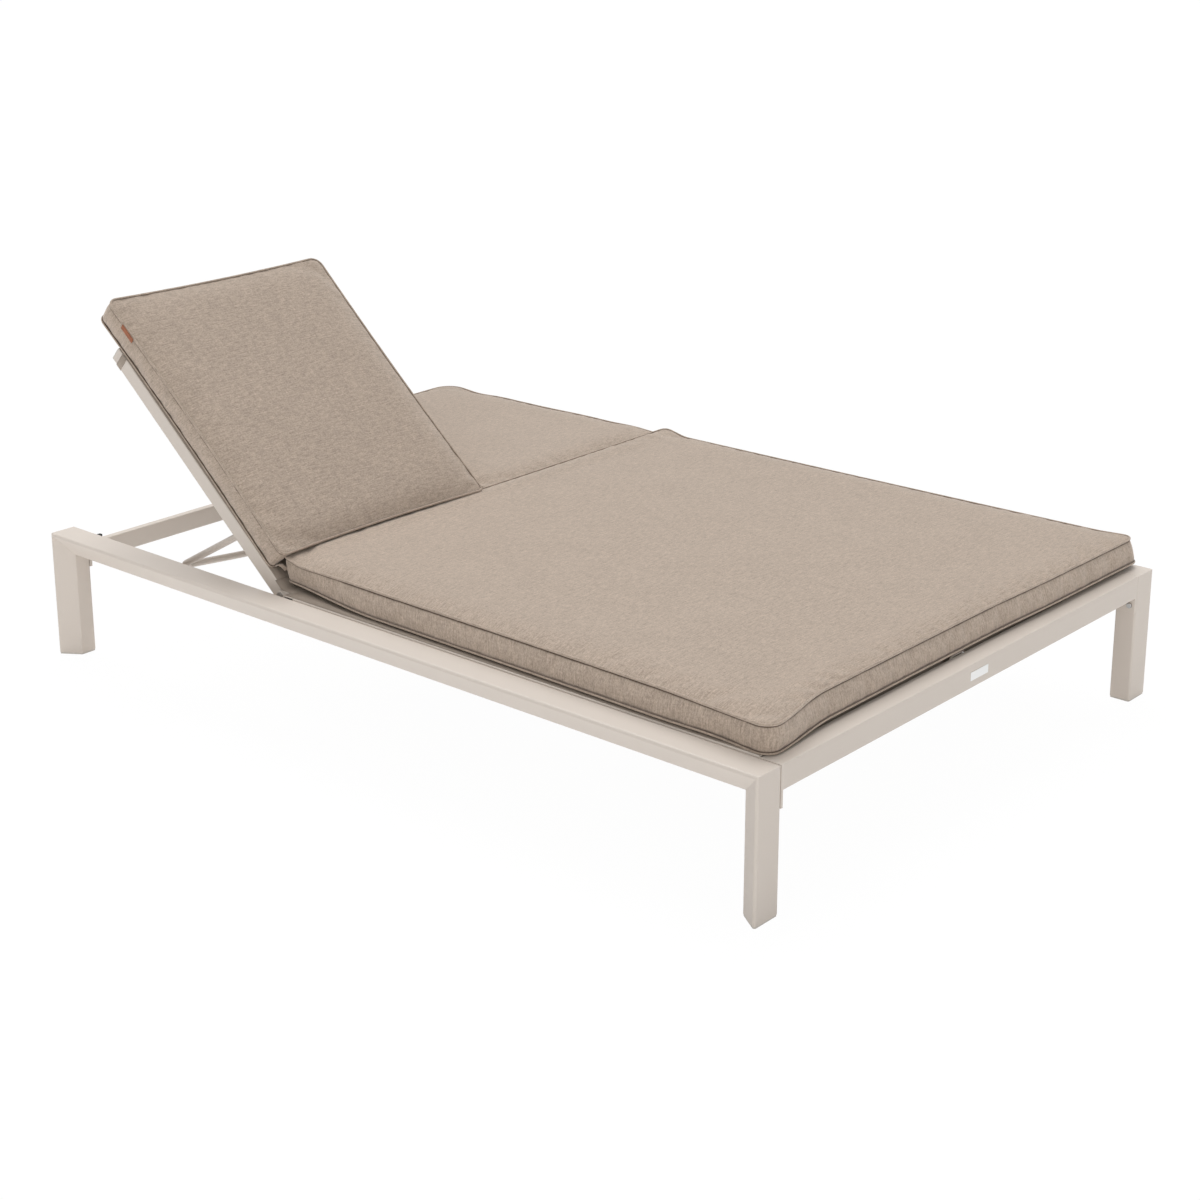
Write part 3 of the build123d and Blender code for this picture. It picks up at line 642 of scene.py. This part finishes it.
def panelPoint(look, x, y, level):
    # a point of the top panel (1) or the underside (0), and how deep in the shade it lies
    point = cushionPlace(look, x, y, level)
    inside = insideBy(look, x, y)
    if not level:
        point.z -= (look["seamLow"] - look["underside"]) * (1 - exp(-inside / look["undersideSoftness"]))
        return point, look["undersideShade"] * exp(-inside / look["shadeReach"])
    crown = look["crown"] * look["crownBeforeFill"]
    rise = crown * (1 - exp(-inside / look["crownSoftness"]))
    point.z += rise * look["crownShare"](point) + pucker(look, x, y, inside)
    waves = look["unevenPerMetre"]
    uneven = look["unevenness"] * noise.noise(Vector((x * waves, y * waves, noiseSeeds["panel"])))
    point.z += uneven * smoothStep(0, look["unevenFrom"], inside)
    return point, look["rimShade"] if inside < look["rimWidth"] else 0.0


def bandRow(look, line, along, share):
    # the side band's points at this share of its height
    fullness = sqrt(4 * share * (1 - share))
    middle, ends = look["bandInset"]
    swell = look["boxing"] * fullness - look["seamInset"] * (middle if 0.1 < share < 0.9 else ends)
    row = []
    for point, outward, run in zip(line, outwardOf(line), along):
        drift = share * look["bandGatherDrift"]
        gather = noise.noise(Vector((run * look["bandGathersPerMetre"], drift, noiseSeeds["band"])))
        row.append(point + outward * (swell + look["bandGather"] * gather * fullness))
    return row


def makeCushion(name, look, body, node):
    look = {**cushionLook, **look}
    halfX, halfY = look["half"]
    xs, ys = stopsAlong(halfX, look), stopsAlong(halfY, look)
    wide, deep = len(xs), len(ys)
    rimIndex = gridRim(wide - 1, deep - 1)
    rim = [(xs[k % wide], ys[k // wide]) for k in rimIndex]
    points, shade, loose, band, lines = [], [], set(), set(), {}
    for level in (1, 0):
        start = len(points)
        for y in ys:
            for x in xs:
                if level and insideBy(look, x, y) > 0:
                    loose.add(len(points))
                point, dark = panelPoint(look, x, y, level)
                points.append(point)
                shade.append(dark)
        lines[level] = [cushionPlace(look, x, y, level) for x, y in rim]
        for k, point, outward in zip(rimIndex, lines[level], outwardOf(lines[level])):
            points[start + k] = point - outward * look["seamInset"]
    lowest = wide * deep
    along = [0.0]
    for one, two in zip(lines[1], lines[1][1:] + lines[1][:1]):
        along.append(along[-1] + (two - one).length)
    rows = [[lowest + k for k in rimIndex]]
    for share in look["bandRows"]:
        line = [cushionPlace(look, x, y, share) for x, y in rim]
        row = bandRow(look, line, along, share)
        rows.append(list(range(len(points), len(points) + len(row))))
        band.update(rows[-1])
        points += row
        shade += [look["bandShades"].get(share, 0.0)] * len(row)
    rows.append(rimIndex)
    faces, corners = [], []
    for square in gridSquares(wide - 1, deep - 1):
        uv = [(xs[k % wide], ys[k // wide]) for k in square]
        faces += [list(square), [lowest + k for k in reversed(square)]]
        corners += [uv, [(x + clothStarts["underside"], y) for x, y in reversed(uv)]]
    tall = look["seamHigh"] - look["seamLow"]
    levels = [share * tall for share in (0, *look["bandRows"], 1)]
    for low, high, lowEdge, highEdge in zip(rows, rows[1:], levels, levels[1:]):
        for k in range(len(rim)):
            n = (k + 1) % len(rim)
            faces.append([low[k], low[n], high[n], high[k]])
            a, b = along[k] + clothStarts["band"], along[k + 1] + clothStarts["band"]
            corners.append([(lowEdge, a), (lowEdge, b), (highEdge, b), (highEdge, a)])
    piece = newPiece(name, points, faces, "cushion_fabric", body, corners, shade)
    swellUp(piece, loose, band)
    smoother = piece.modifiers.new("smoother", "SUBSURF")
    smoother.levels = smoother.render_levels = 1
    bake(piece)
    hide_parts(node)
    print(name, "made:", len(piece.data.vertices), "points")
    return [piece] + [makeWelt(f"{name}{label}Welt", lines[level], look, body, level)
                      for label, level in (("Lower", 0), ("Upper", 1))]


def makeWelt(name, line, look, body, level):
    # a cord covered with the same fabric, all round the seam
    sides, radius = look["weltSides"], look["weltRadius"]
    points, faces, corners, shade = [], [], [], []
    count = len(line)
    runs = [0.0]
    for k, (point, outward) in enumerate(zip(line, outwardOf(line))):
        ahead = (line[(k + 1) % count] - line[k - 1]).normalized()
        lift = outward.cross(ahead)
        place = Vector((runs[-1] * look["weltWobblesPerMetre"], radius, noiseSeeds["welt"]))
        wobble = 1 + look["weltWobble"] * noise.noise(place)
        runs.append(runs[-1] + (line[(k + 1) % count] - point).length)
        for side in range(sides):
            angle = 2 * pi * side / sides
            points.append(point + (outward * cos(angle) + lift * sin(angle)) * radius * wobble)
            toBand = -sin(angle) if level else sin(angle)
            if toBand > look["creaseFrom"]:
                shade.append(look["creaseShade"])
            else:
                shade.append(look["backShade"] if cos(angle) < -look["creaseFrom"] else 0.0)
    step = 2 * pi * radius / sides
    starts = [run + clothStarts["welt"] for run in runs]
    for k in range(count):
        n = (k + 1) % count
        for side in range(sides):
            after = (side + 1) % sides
            faces.append([k * sides + side, n * sides + side, n * sides + after, k * sides + after])
            a, b = side * step, (side + 1) * step
            corners.append([(starts[k], a), (starts[k + 1], a), (starts[k + 1], b), (starts[k], b)])
    return newPiece(name, points, faces, "cushion_fabric", body, corners, shade)


def swellUp(piece, loose, bandPoints):
    # the cover is blown up against its seams, then held near the foam's shape
    mesh = piece.data
    before = [point.co.copy() for point in mesh.vertices]
    held = piece.vertex_groups.new(name="heldPoints")
    free = loose | bandPoints
    held.add([i for i in range(len(before)) if i not in free], 1.0, "REPLACE")
    cloth = piece.modifiers.new("cover", "CLOTH")
    how = cloth.settings
    how.quality = fillLook["quality"]
    how.mass = fillLook["mass"]
    how.tension_stiffness = how.compression_stiffness = fillLook["stretch"]
    how.shear_stiffness = fillLook["shear"]
    how.bending_stiffness = fillLook["bend"]
    how.use_pressure = True
    how.uniform_pressure_force = fillLook["pressure"]
    how.effector_weights.gravity = 0
    how.vertex_group_mass = held.name
    how.shrink_min = fillLook["grow"]
    cloth.collision_settings.use_collision = False
    cloth.collision_settings.use_self_collision = False
    cloth.point_cache.frame_start = 1
    cloth.point_cache.frame_end = fillLook["frames"]
    for moment in range(1, fillLook["frames"] + 1):
        scene.frame_set(moment)
    seen = piece.evaluated_get(bpy.context.evaluated_depsgraph_get())
    after = [point.co.copy() for point in seen.data.vertices]
    piece.modifiers.remove(cloth)
    scene.frame_set(1)
    farthest = 0
    for i, point in enumerate(mesh.vertices):
        if i not in free:
            continue
        move = after[i] - before[i]
        cap = fillLook["topCap"] if i in loose else fillLook["bandCap"]
        far = move.length
        farthest = max(farthest, far)
        if far > 0:
            point.co = before[i] + move * (cap * tanh(far / cap) / far)
    piece.vertex_groups.remove(held)
    mesh.update()
    print(piece.name, "swelled, farthest point", round(farthest * 1000, 1), "mm before the cap")


seatLook = {
    "foot": -1.051,
    "head": (0.268, 0.302),  # lower and upper seam
    "halfWidth": (0.690, 0.666),   # foot and head
    "shift": 0.034,          # it lies a little to the flat back's side
    "drawIn": 0.003,
    "corners": (0.034, 0.024, 0.020, 0.013),
    "sideLean": (0.010, 0.012),    # near side: out below, in above
    "headCorner": (0.011, 0.011, 0.012),   # near head corner: in, level, lifted below
    "headLift": 0.0125,      # the back cushions push its head edge up
    "headReach": 0.075,
    "headFlat": 0.3,         # how much less crown it has there
    "nearLift": 0.0042,      # it bears on the sling further in, so its near lower seam hangs free
    "footBack": (0.010, 0.015),    # its foot band lies back from the near corner, and leans
    "footStraight": 0.6,     # the flat back's side lies back less
    "footLift": (0.0055, 0.0035),  # lower and upper seam
    "footSink": 0.0030,      # the near corner's lower seam lies lower
    "fill": 0.8,
}
seatFades = {                # each shape comes up over this stretch of X or Y
    "lean": (-0.66, -0.42),
    "footEnd": (seatLook["foot"], seatLook["foot"] + 0.3),
    "headEnd": (0.02, 0.28),
    "headCrown": (0.2, 0.29),
    "cornerAlong": (-0.02, 0.28),
    "cornerAcross": (-0.64, -0.50),
    "freeFoot": (seatLook["foot"] + 0.02, seatLook["foot"] + 0.16),
    "freeSide": (-0.66, -0.60),
    "footBand": (0.0, 0.12),       # from the foot edge
    "footCorner": (-0.64, -0.45),
    "footStraight": (0.1, 0.4),
}


def risen(name, value):
    return smoothStep(*seatFades[name], value)


def seatPose(point, level):
    side = risen("footEnd", point.y) * (1 - risen("headEnd", point.y))
    out, back = seatLook["sideLean"]
    point.x += (1 - risen("lean", point.x)) * side * (back * level - out * (1 - level))
    inward, flat, lift = seatLook["headCorner"]
    corner = risen("cornerAlong", point.y) * (1 - risen("cornerAcross", point.x))
    point.x += corner * inward
    point.y += corner * flat * (1 - 2 * level)
    point.z += corner * lift * (1 - level)
    edge = seatLook["head"][1]
    point.z += seatLook["headLift"] * level * smoothStep(edge - seatLook["headReach"], edge, point.y)
    free = risen("freeFoot", point.y) * (1 - risen("headEnd", point.y))
    point.z += seatLook["nearLift"] * (1 - level) * free * (1 - risen("freeSide", point.x))
    # the foot band lies back and lifts off the rail, but for its near corner
    foot = 1 - risen("footBand", point.y - seatLook["foot"])
    away = risen("footCorner", point.x)
    back, lean = seatLook["footBack"]
    straight = 1 - seatLook["footStraight"] * risen("footStraight", point.x)
    point.y += foot * away * (back * straight + lean * level)
    low, high = seatLook["footLift"]
    point.z += foot * level * high * away
    point.z += foot * (1 - level) * (low * away - seatLook["footSink"] * (1 - away))
    return point


def cushionEdges(left, right, foot, head):
    # each may be a pair of numbers, for the foot and the head or the left and the right end
    footLeft, headLeft = left if isinstance(left, tuple) else (left, left)
    footRight, headRight = right if isinstance(right, tuple) else (right, right)
    return (footLeft, foot), (footRight, foot), (headRight, head), (headLeft, head)


seatLeft = tuple(seatLook["shift"] - half for half in seatLook["halfWidth"])
seatRight = tuple(seatLook["shift"] + half for half in seatLook["halfWidth"])
makeCushion("seatCushion", {
    "half": (sum(seatLook["halfWidth"]) / 2, (seatLook["head"][0] - seatLook["foot"]) / 2),
    "below": cushionEdges(seatLeft, seatRight, seatLook["foot"], seatLook["head"][0]),
    "above": cushionEdges(seatLeft, seatRight, seatLook["foot"], seatLook["head"][1]),
    "drawIn": seatLook["drawIn"],
    "corners": seatLook["corners"],
    "pose": seatPose,
    "crownShare": lambda point: 1 - seatLook["headFlat"] * risen("headCrown", point.y),
}, "base", "seat_cushion")

backLook = {
    "width": 0.630,
    "fill": 0.75,
    "squashLevel": 0.33,
}
leftLook = {
    "left": -0.638,
    "right": (-0.010, -0.002),
    "foot": (0.364, 0.335),  # lower and upper seam, as it lies flat
    "head": 1.073,
    "corners": (0.018, 0.012, 0.026, 0.024),
    "cornerFoot": 0.028,     # the near corner's lower seam reaches further to the foot
    "cornerAcross": (-0.64, -0.59),
    "cornerAlong": (0.36, 0.46),
}
rightLook = {
    "left": 0.052,
    "right": 0.684,
    "foot": (0.352, 0.316),
    "head": 1.072,
    "corners": (0.012, 0.020, 0.055, 0.030),
    "keep": 0.970,           # the seat cushion pushes it together as it comes up
    "farSide": (0.55, 0.68),
    "rise": (0.003, 0.55, 0.12),   # height, place and half width of the far side's waves
    "dip": (0.005, 0.95, 0.06),
    "bulge": (0.008, 0.40, 0.05),
}


def wave(value, height, place, spread):
    return height * exp(-((value - place) / spread) ** 2)


def leftPose(point, level):
    across, along = leftLook["cornerAcross"], leftLook["cornerAlong"]
    corner = (1 - smoothStep(*across, point.x)) * (1 - smoothStep(*along, point.y))
    point.y -= corner * leftLook["cornerFoot"] * (1 - level)
    return point


def rightPose(point, level):
    far = smoothStep(*rightLook["farSide"], point.x)
    point.z += far * wave(point.y, *rightLook["rise"])
    point.z -= far * level * wave(point.y, *rightLook["dip"])
    point.x += far * wave(point.y, *rightLook["bulge"])
    return point


def makeBackCushion(name, look, pose, body, node):
    edges = [cushionEdges(look["left"], look["right"], foot, look["head"]) for foot in look["foot"]]
    return makeCushion(name, {
        "half": (backLook["width"] / 2, (look["head"] - sum(look["foot"]) / 2) / 2),
        "below": edges[0],
        "above": edges[1],
        "corners": look["corners"],
        "pose": pose,
    }, body, node)


for part in makeBackCushion("leftBackCushion", leftLook, leftPose, "back_left", "back_left_cushion"):
    turnPiece(part, raiseLeft)
for part in makeBackCushion("rightBackCushion", rightLook, rightPose, "back_right", "back_right_cushion"):
    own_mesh(part)

# slings
slingLook = {
    "thick": 0.0014,
    "cell": 0.02,
    "clearance": 0.0001,
    "seatSag": 0.007,
    "backSag": 0.003,
    "sagShape": 0.8,         # below 1 it sags steeper from its side bars
    "endSag": 0.04,          # the bars at its ends let it hang less
    "ripple": 0.0005,
    "ripplesPerMetre": (5, 18),
    "rippleReach": 0.12,     # from the side edges
    "hem": 0.018,
    "hemStep": 0.002,
    "hemThick": 0.0006,
    "footGap": 0.0006,       # the seat slings' foot ends are drawn up to the foot rail
    "footDrop": 0.014,       # and run down this far behind it
    "footFade": (0.026, 0.036),    # but not over the side bars
}


def slingLevel(x, y, u, v, edge, top, sag, side):
    look = slingLook
    drop = sag * sin(pi * u) ** look["sagShape"] * (look["endSag"] + (1 - look["endSag"]) * sin(pi * v))
    perX, perY = look["ripplesPerMetre"]
    place = Vector((x * perX, y * perY, noiseSeeds["sling"]))
    ripple = look["ripple"] * noise.noise(place) * (edge < look["rippleReach"])
    hem = look["hemThick"] * (1 - smoothStep(look["hem"], look["hem"] + look["hemStep"], edge))
    thick = look["thick"] - look["hemThick"] + hem
    return top - look["clearance"] - drop + ripple * sin(pi * u) - side * thick


def makeSling(name, node, body, low, high, sag, matrix=None, footDrop=0.0):
    width, length = high.x - low.x, high.y - low.y
    across, along = round(width / slingLook["cell"]), round(length / slingLook["cell"])
    points = []
    for side in (0, 1):
        for j in range(along + 1):
            for i in range(across + 1):
                u, v = i / across, j / along
                x, y = low.x + u * width, low.y + v * length
                edge = min(u * width, width - u * width)
                z = slingLevel(x, y, u, v, edge, high.z, sag, side)
                if j == 0:
                    z -= footDrop * smoothStep(*slingLook["footFade"], edge)
                points.append((x, y, z))
    layer = len(points) // 2
    faces, corners = sheetFaces(across, along, [point[:2] for point in points[:layer]], 0, layer)
    piece = newPiece(name, points, faces, "sling_mesh", body, corners)
    if matrix:
        turnPiece(piece, matrix)
    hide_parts(node)


for side in ("left", "right"):
    low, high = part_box(f"seat_sling_{side}")
    low = Vector((low.x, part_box("foot_rail")[1].y + slingLook["footGap"], low.z))
    makeSling(f"{side}SeatSling", f"seat_sling_{side}", "base", low, high, slingLook["seatSag"],
              footDrop=slingLook["footDrop"])
    low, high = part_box("back_right_sling")
    if side == "left":
        low, high = Vector((-high.x, low.y, low.z)), Vector((-low.x, high.y, high.z))
    makeSling(f"{side}BackSling", f"back_{side}_sling", f"back_{side}", low, high, slingLook["backSag"],
              raiseLeft if side == "left" else None)
print("slings made")

# straps
strapLook = {
    "wide": 0.017,
    "thick": 0.0014,
    "clearance": 0.0002,
    "turn": 0.003,           # radius at the tubes' corners
    "turnSteps": 4,
    "stepsAcross": 6,
    "edgePatch": 0.001,      # cloth that its thin edges show
    "rightEnd": 0.062,       # on the flat back it ends under the cushion
}


def roundedPath(corners):
    path = [Vector(corners[0])]
    for before, corner, after in zip(corners, corners[1:], corners[2:]):
        before, corner, after = Vector(before), Vector(corner), Vector(after)
        one = (before - corner).normalized() * strapLook["turn"]
        two = (after - corner).normalized() * strapLook["turn"]
        middle = corner + one + two
        for k in range(strapLook["turnSteps"] + 1):
            angle = pi / 2 * k / strapLook["turnSteps"]
            path.append(middle - two * cos(angle) - one * sin(angle))
    path.append(Vector(corners[-1]))
    return path


def makeStrap(name, node, body, path, low, high, matrix=None):
    # path runs in X and Z, and the band is as wide as from low to high in Y
    across = strapLook["stepsAcross"]
    widths = [w / across * (high - low) for w in range(across + 1)]
    inner, outer, runs = [], [], [0.0]
    for k, point in enumerate(path):
        before, after = path[max(k - 1, 0)], path[min(k + 1, len(path) - 1)]
        ahead = (after - before).normalized()
        outward = Vector((ahead.y, -ahead.x))
        inner.append(point + outward * strapLook["clearance"])
        outer.append(point + outward * strapLook["thick"])
        if k:
            runs.append(runs[-1] + (point - path[k - 1]).length)
    points = [(point.x, low + width, point.y) for point in inner + outer for width in widths]
    faces, corners = [], []
    row = across + 1
    layer = row * len(path)
    patch = strapLook["edgePatch"]
    for k in range(len(path) - 1):
        for w in range(across):
            square = (w + k * row, w + 1 + k * row, w + 1 + (k + 1) * row, w + (k + 1) * row)
            uv = [(widths[n % row], runs[n // row]) for n in square]
            faces += [[layer + n for n in square], list(reversed(square))]
            corners += [uv, list(reversed(uv))]
        for w, flip in ((0, False), (across, True)):
            edge = [w + k * row, w + (k + 1) * row, layer + w + (k + 1) * row, layer + w + k * row]
            faces.append(edge if flip else list(reversed(edge)))
            corners.append([(0, runs[k]), (0, runs[k + 1]), (patch, runs[k + 1]), (patch, runs[k])])
    for k, flip in ((0, False), (len(path) - 1, True)):
        for w in range(across):
            edge = [w + k * row, w + 1 + k * row, layer + w + 1 + k * row, layer + w + k * row]
            faces.append(list(reversed(edge)) if flip else edge)
            corners.append([(0, 0), (patch, 0), (patch, patch), (0, patch)])
    piece = newPiece(name, points, faces, "strap_fabric", body, corners)
    if matrix:
        turnPiece(piece, matrix)
    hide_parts(node)


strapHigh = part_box("back_right_strap")[1]
bandLow, bandHigh = strapHigh.y - strapLook["wide"], strapHigh.y
outerLow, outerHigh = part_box("back_right_outer_rail")
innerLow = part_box("back_right_inner_rail")[0]
cushionLevel = strapHigh.z + strapLook["clearance"]
makeStrap("rightBackStrap", "back_right_strap", "back_right", roundedPath([
    (strapLook["rightEnd"], strapHigh.z), (innerLow.x, strapHigh.z), (innerLow.x, innerLow.z),
    (outerHigh.x, outerLow.z), (outerHigh.x, cushionLevel),
]), bandLow, bandHigh)
makeStrap("leftBackStrap", "back_left_strap", "back_left", roundedPath([
    (-outerHigh.x, cushionLevel), (-outerHigh.x, outerLow.z),
    (-innerLow.x, innerLow.z), (-innerLow.x, cushionLevel),
]), bandLow, bandHigh, raiseLeft)
print("straps made")

# hinge covers and tie
coverLook = {
    "thick": 0.0008,
    "stepsAcross": 30,
    "inset": 0.014,          # from the seat sling's outer edge
    "sideGap": 0.0005,       # from the back sling's inner edge
    "clearance": 0.0001,
    "reach": 0.012,          # how far it lies on the back's sling
    "level": 0.30405,
    "seatStart": 0.2360,
    "bend": 0.2640,
    "handles": (0.012, 0.014),     # how stiffly it leaves the seat and meets the back
    "stepsAlong": 14,
}
tieLook = {
    "thick": 0.0012,
    "low": -0.629,
    "high": -0.618,
    "seatEnd": (0.281, 0.344),
    "seatHandle": (0.002, 0.016),
    "backEnd": (0.3375, 0.3125),   # as the back lies flat
    "backHandle": (-0.016, 0.012),
    "bulge": 0.009,
    "steps": 14,
    "stepsAcross": 4,
}


def curveBetween(first, second, third, fourth, steps):
    # even steps of a curve that starts at first, heads for second and arrives from third
    path = []
    for k in range(steps + 1):
        t = k / steps
        early = first * (1 - t) ** 3 + second * 3 * t * (1 - t) ** 2
        path.append(early + third * 3 * t * t * (1 - t) + fourth * t ** 3)
    return path


def evenSteps(low, high, steps):
    return [low + (high - low) * i / steps for i in range(steps + 1)]


def makeBridge(name, path, xs, thick, slot, sideBulge=0.0):
    # a band that runs along path in Y and Z; sideBulge pushes its middle sideways
    points, runs = [], [0.0]
    for one, two in zip(path, path[1:]):
        runs.append(runs[-1] + (two - one).length)
    for side in (0, 1):
        for k, place in enumerate(path):
            ahead = path[min(k + 1, len(path) - 1)] - path[max(k - 1, 0)]
            up = Vector((0, -ahead.z, ahead.y)).normalized() * thick * side
            shift = sideBulge * sin(pi * (k / (len(path) - 1)))
            points += [place + up + Vector((x + shift, 0, 0)) for x in xs]
    cloth = [(x, run) for run in runs for x in xs]
    faces, corners = sheetFaces(len(xs) - 1, len(path) - 1, cloth, len(cloth), 0)
    return newPiece(name, points, faces, slot, None, corners), runs[-1]


def makeCover(side, look):
    # sling fabric that bridges the gap between the seat's sling and the back's
    seatLow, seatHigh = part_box(f"seat_sling_{side}")
    backLow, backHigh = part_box("back_right_sling")
    start = Vector((0, look["seatStart"], look["level"]))
    bend = Vector((0, look["bend"], look["level"]))
    slingFoot = Vector((0, backLow.y, backHigh.z + look["clearance"]))
    end = slingFoot + Vector((0, look["reach"], 0))
    leaving, meeting = look["handles"]
    towards = slingFoot - Vector((0, meeting, 0))
    if side == "left":
        end, towards = raiseLeft @ end, raiseLeft @ towards
        xs = (seatLow.x + look["inset"], -backLow.x - look["sideGap"])
    else:
        xs = (backLow.x + look["sideGap"], seatHigh.x - look["inset"])
    xs = evenSteps(*xs, look["stepsAcross"])
    path = [start] + curveBetween(bend, bend + Vector((0, leaving, 0)), towards, end, look["stepsAlong"])
    piece, length = makeBridge(f"{side}HingeCover", path, xs, look["thick"], "sling_mesh")
    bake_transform(piece)


for side in ("left", "right"):
    makeCover(side, coverLook)


def makeTie(look):
    # a loop of the cushions' fabric that holds the seat cushion's corner to the back cushion's
    start = Vector((0, *look["seatEnd"]))
    end = raiseLeft @ Vector((0, *look["backEnd"]))
    leaving, meeting = Vector((0, *look["seatHandle"])), Vector((0, *look["backHandle"]))
    path = curveBetween(start, start + leaving, end + meeting, end, look["steps"])
    xs = evenSteps(look["low"], look["high"], look["stepsAcross"])
    piece = makeBridge("cushionTie", path, xs, look["thick"], "cushion_fabric", -look["bulge"])[0]
    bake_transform(piece)


makeTie(tieLook)
print("hinge covers and tie made")

# leather tab
tabLook = {
    "long": 0.046,
    "tall": 0.013,
    "thick": 0.0015,
    "round": 0.0015,
    "steps": (28, 10),
    "rimShare": 0.55,        # of its thickness, at the cut edge
    "rimWidth": 0.0007,
    "stitchFrom": (0.07, 0.1),     # a row near each end, as shares of its length and height
    "stitchWide": 0.0007,
    "stitchDeep": 0.0004,
    "fromHead": 0.072,
    "outerX": -0.6400,
    "lean": 0.0012,          # its free edge lies closer to the band
    "overSeam": 0.0022,
}


def tabThick(look, u, v):
    edge = min(min(u, 1 - u) * look["long"], min(v, 1 - v) * look["tall"])
    thick = look["thick"] * (look["rimShare"] + (1 - look["rimShare"]) * (1 - exp(-edge / look["rimWidth"])))
    inward, up = look["stitchFrom"]
    if abs(min(u, 1 - u) - inward) * look["long"] < look["stitchWide"] and up < v < 1 - up:
        thick -= look["stitchDeep"]
    return thick


def makeTab(look):
    top = cushionLook["seamHigh"] + look["overSeam"]
    low = leftLook["head"] - look["fromHead"] - look["long"]
    halfLong, halfTall = look["long"] / 2, look["tall"] / 2
    across, up = look["steps"]
    points, faces = [], []
    for side in (0, 1):
        for j in range(up + 1):
            for i in range(across + 1):
                u, v = i / across, j / up
                square = (u - 0.5) * look["long"], (v - 0.5) * look["tall"]
                y, z = roundCorner(*square, halfLong, halfTall, look["round"])
                x = look["outerX"] + look["lean"] * (1 - v) - side * tabThick(look, u, v)
                points.append((x, low + halfLong + y, top - halfTall + z))
    layer = len(points) // 2
    for square in gridSquares(across, up):
        faces += [list(square), [layer + k for k in reversed(square)]]
    rim = gridRim(across, up)
    for one, two in zip(rim, rim[1:] + rim[:1]):
        faces.append([one, layer + one, layer + two, two])
    piece = newPiece("leatherTab", points, faces, "leather", "back_left")
    turnPiece(piece, raiseLeft)
    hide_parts("back_left_leather_tab")


makeTab(tabLook)
print("leather tab made")


bpy.context.view_layer.update()
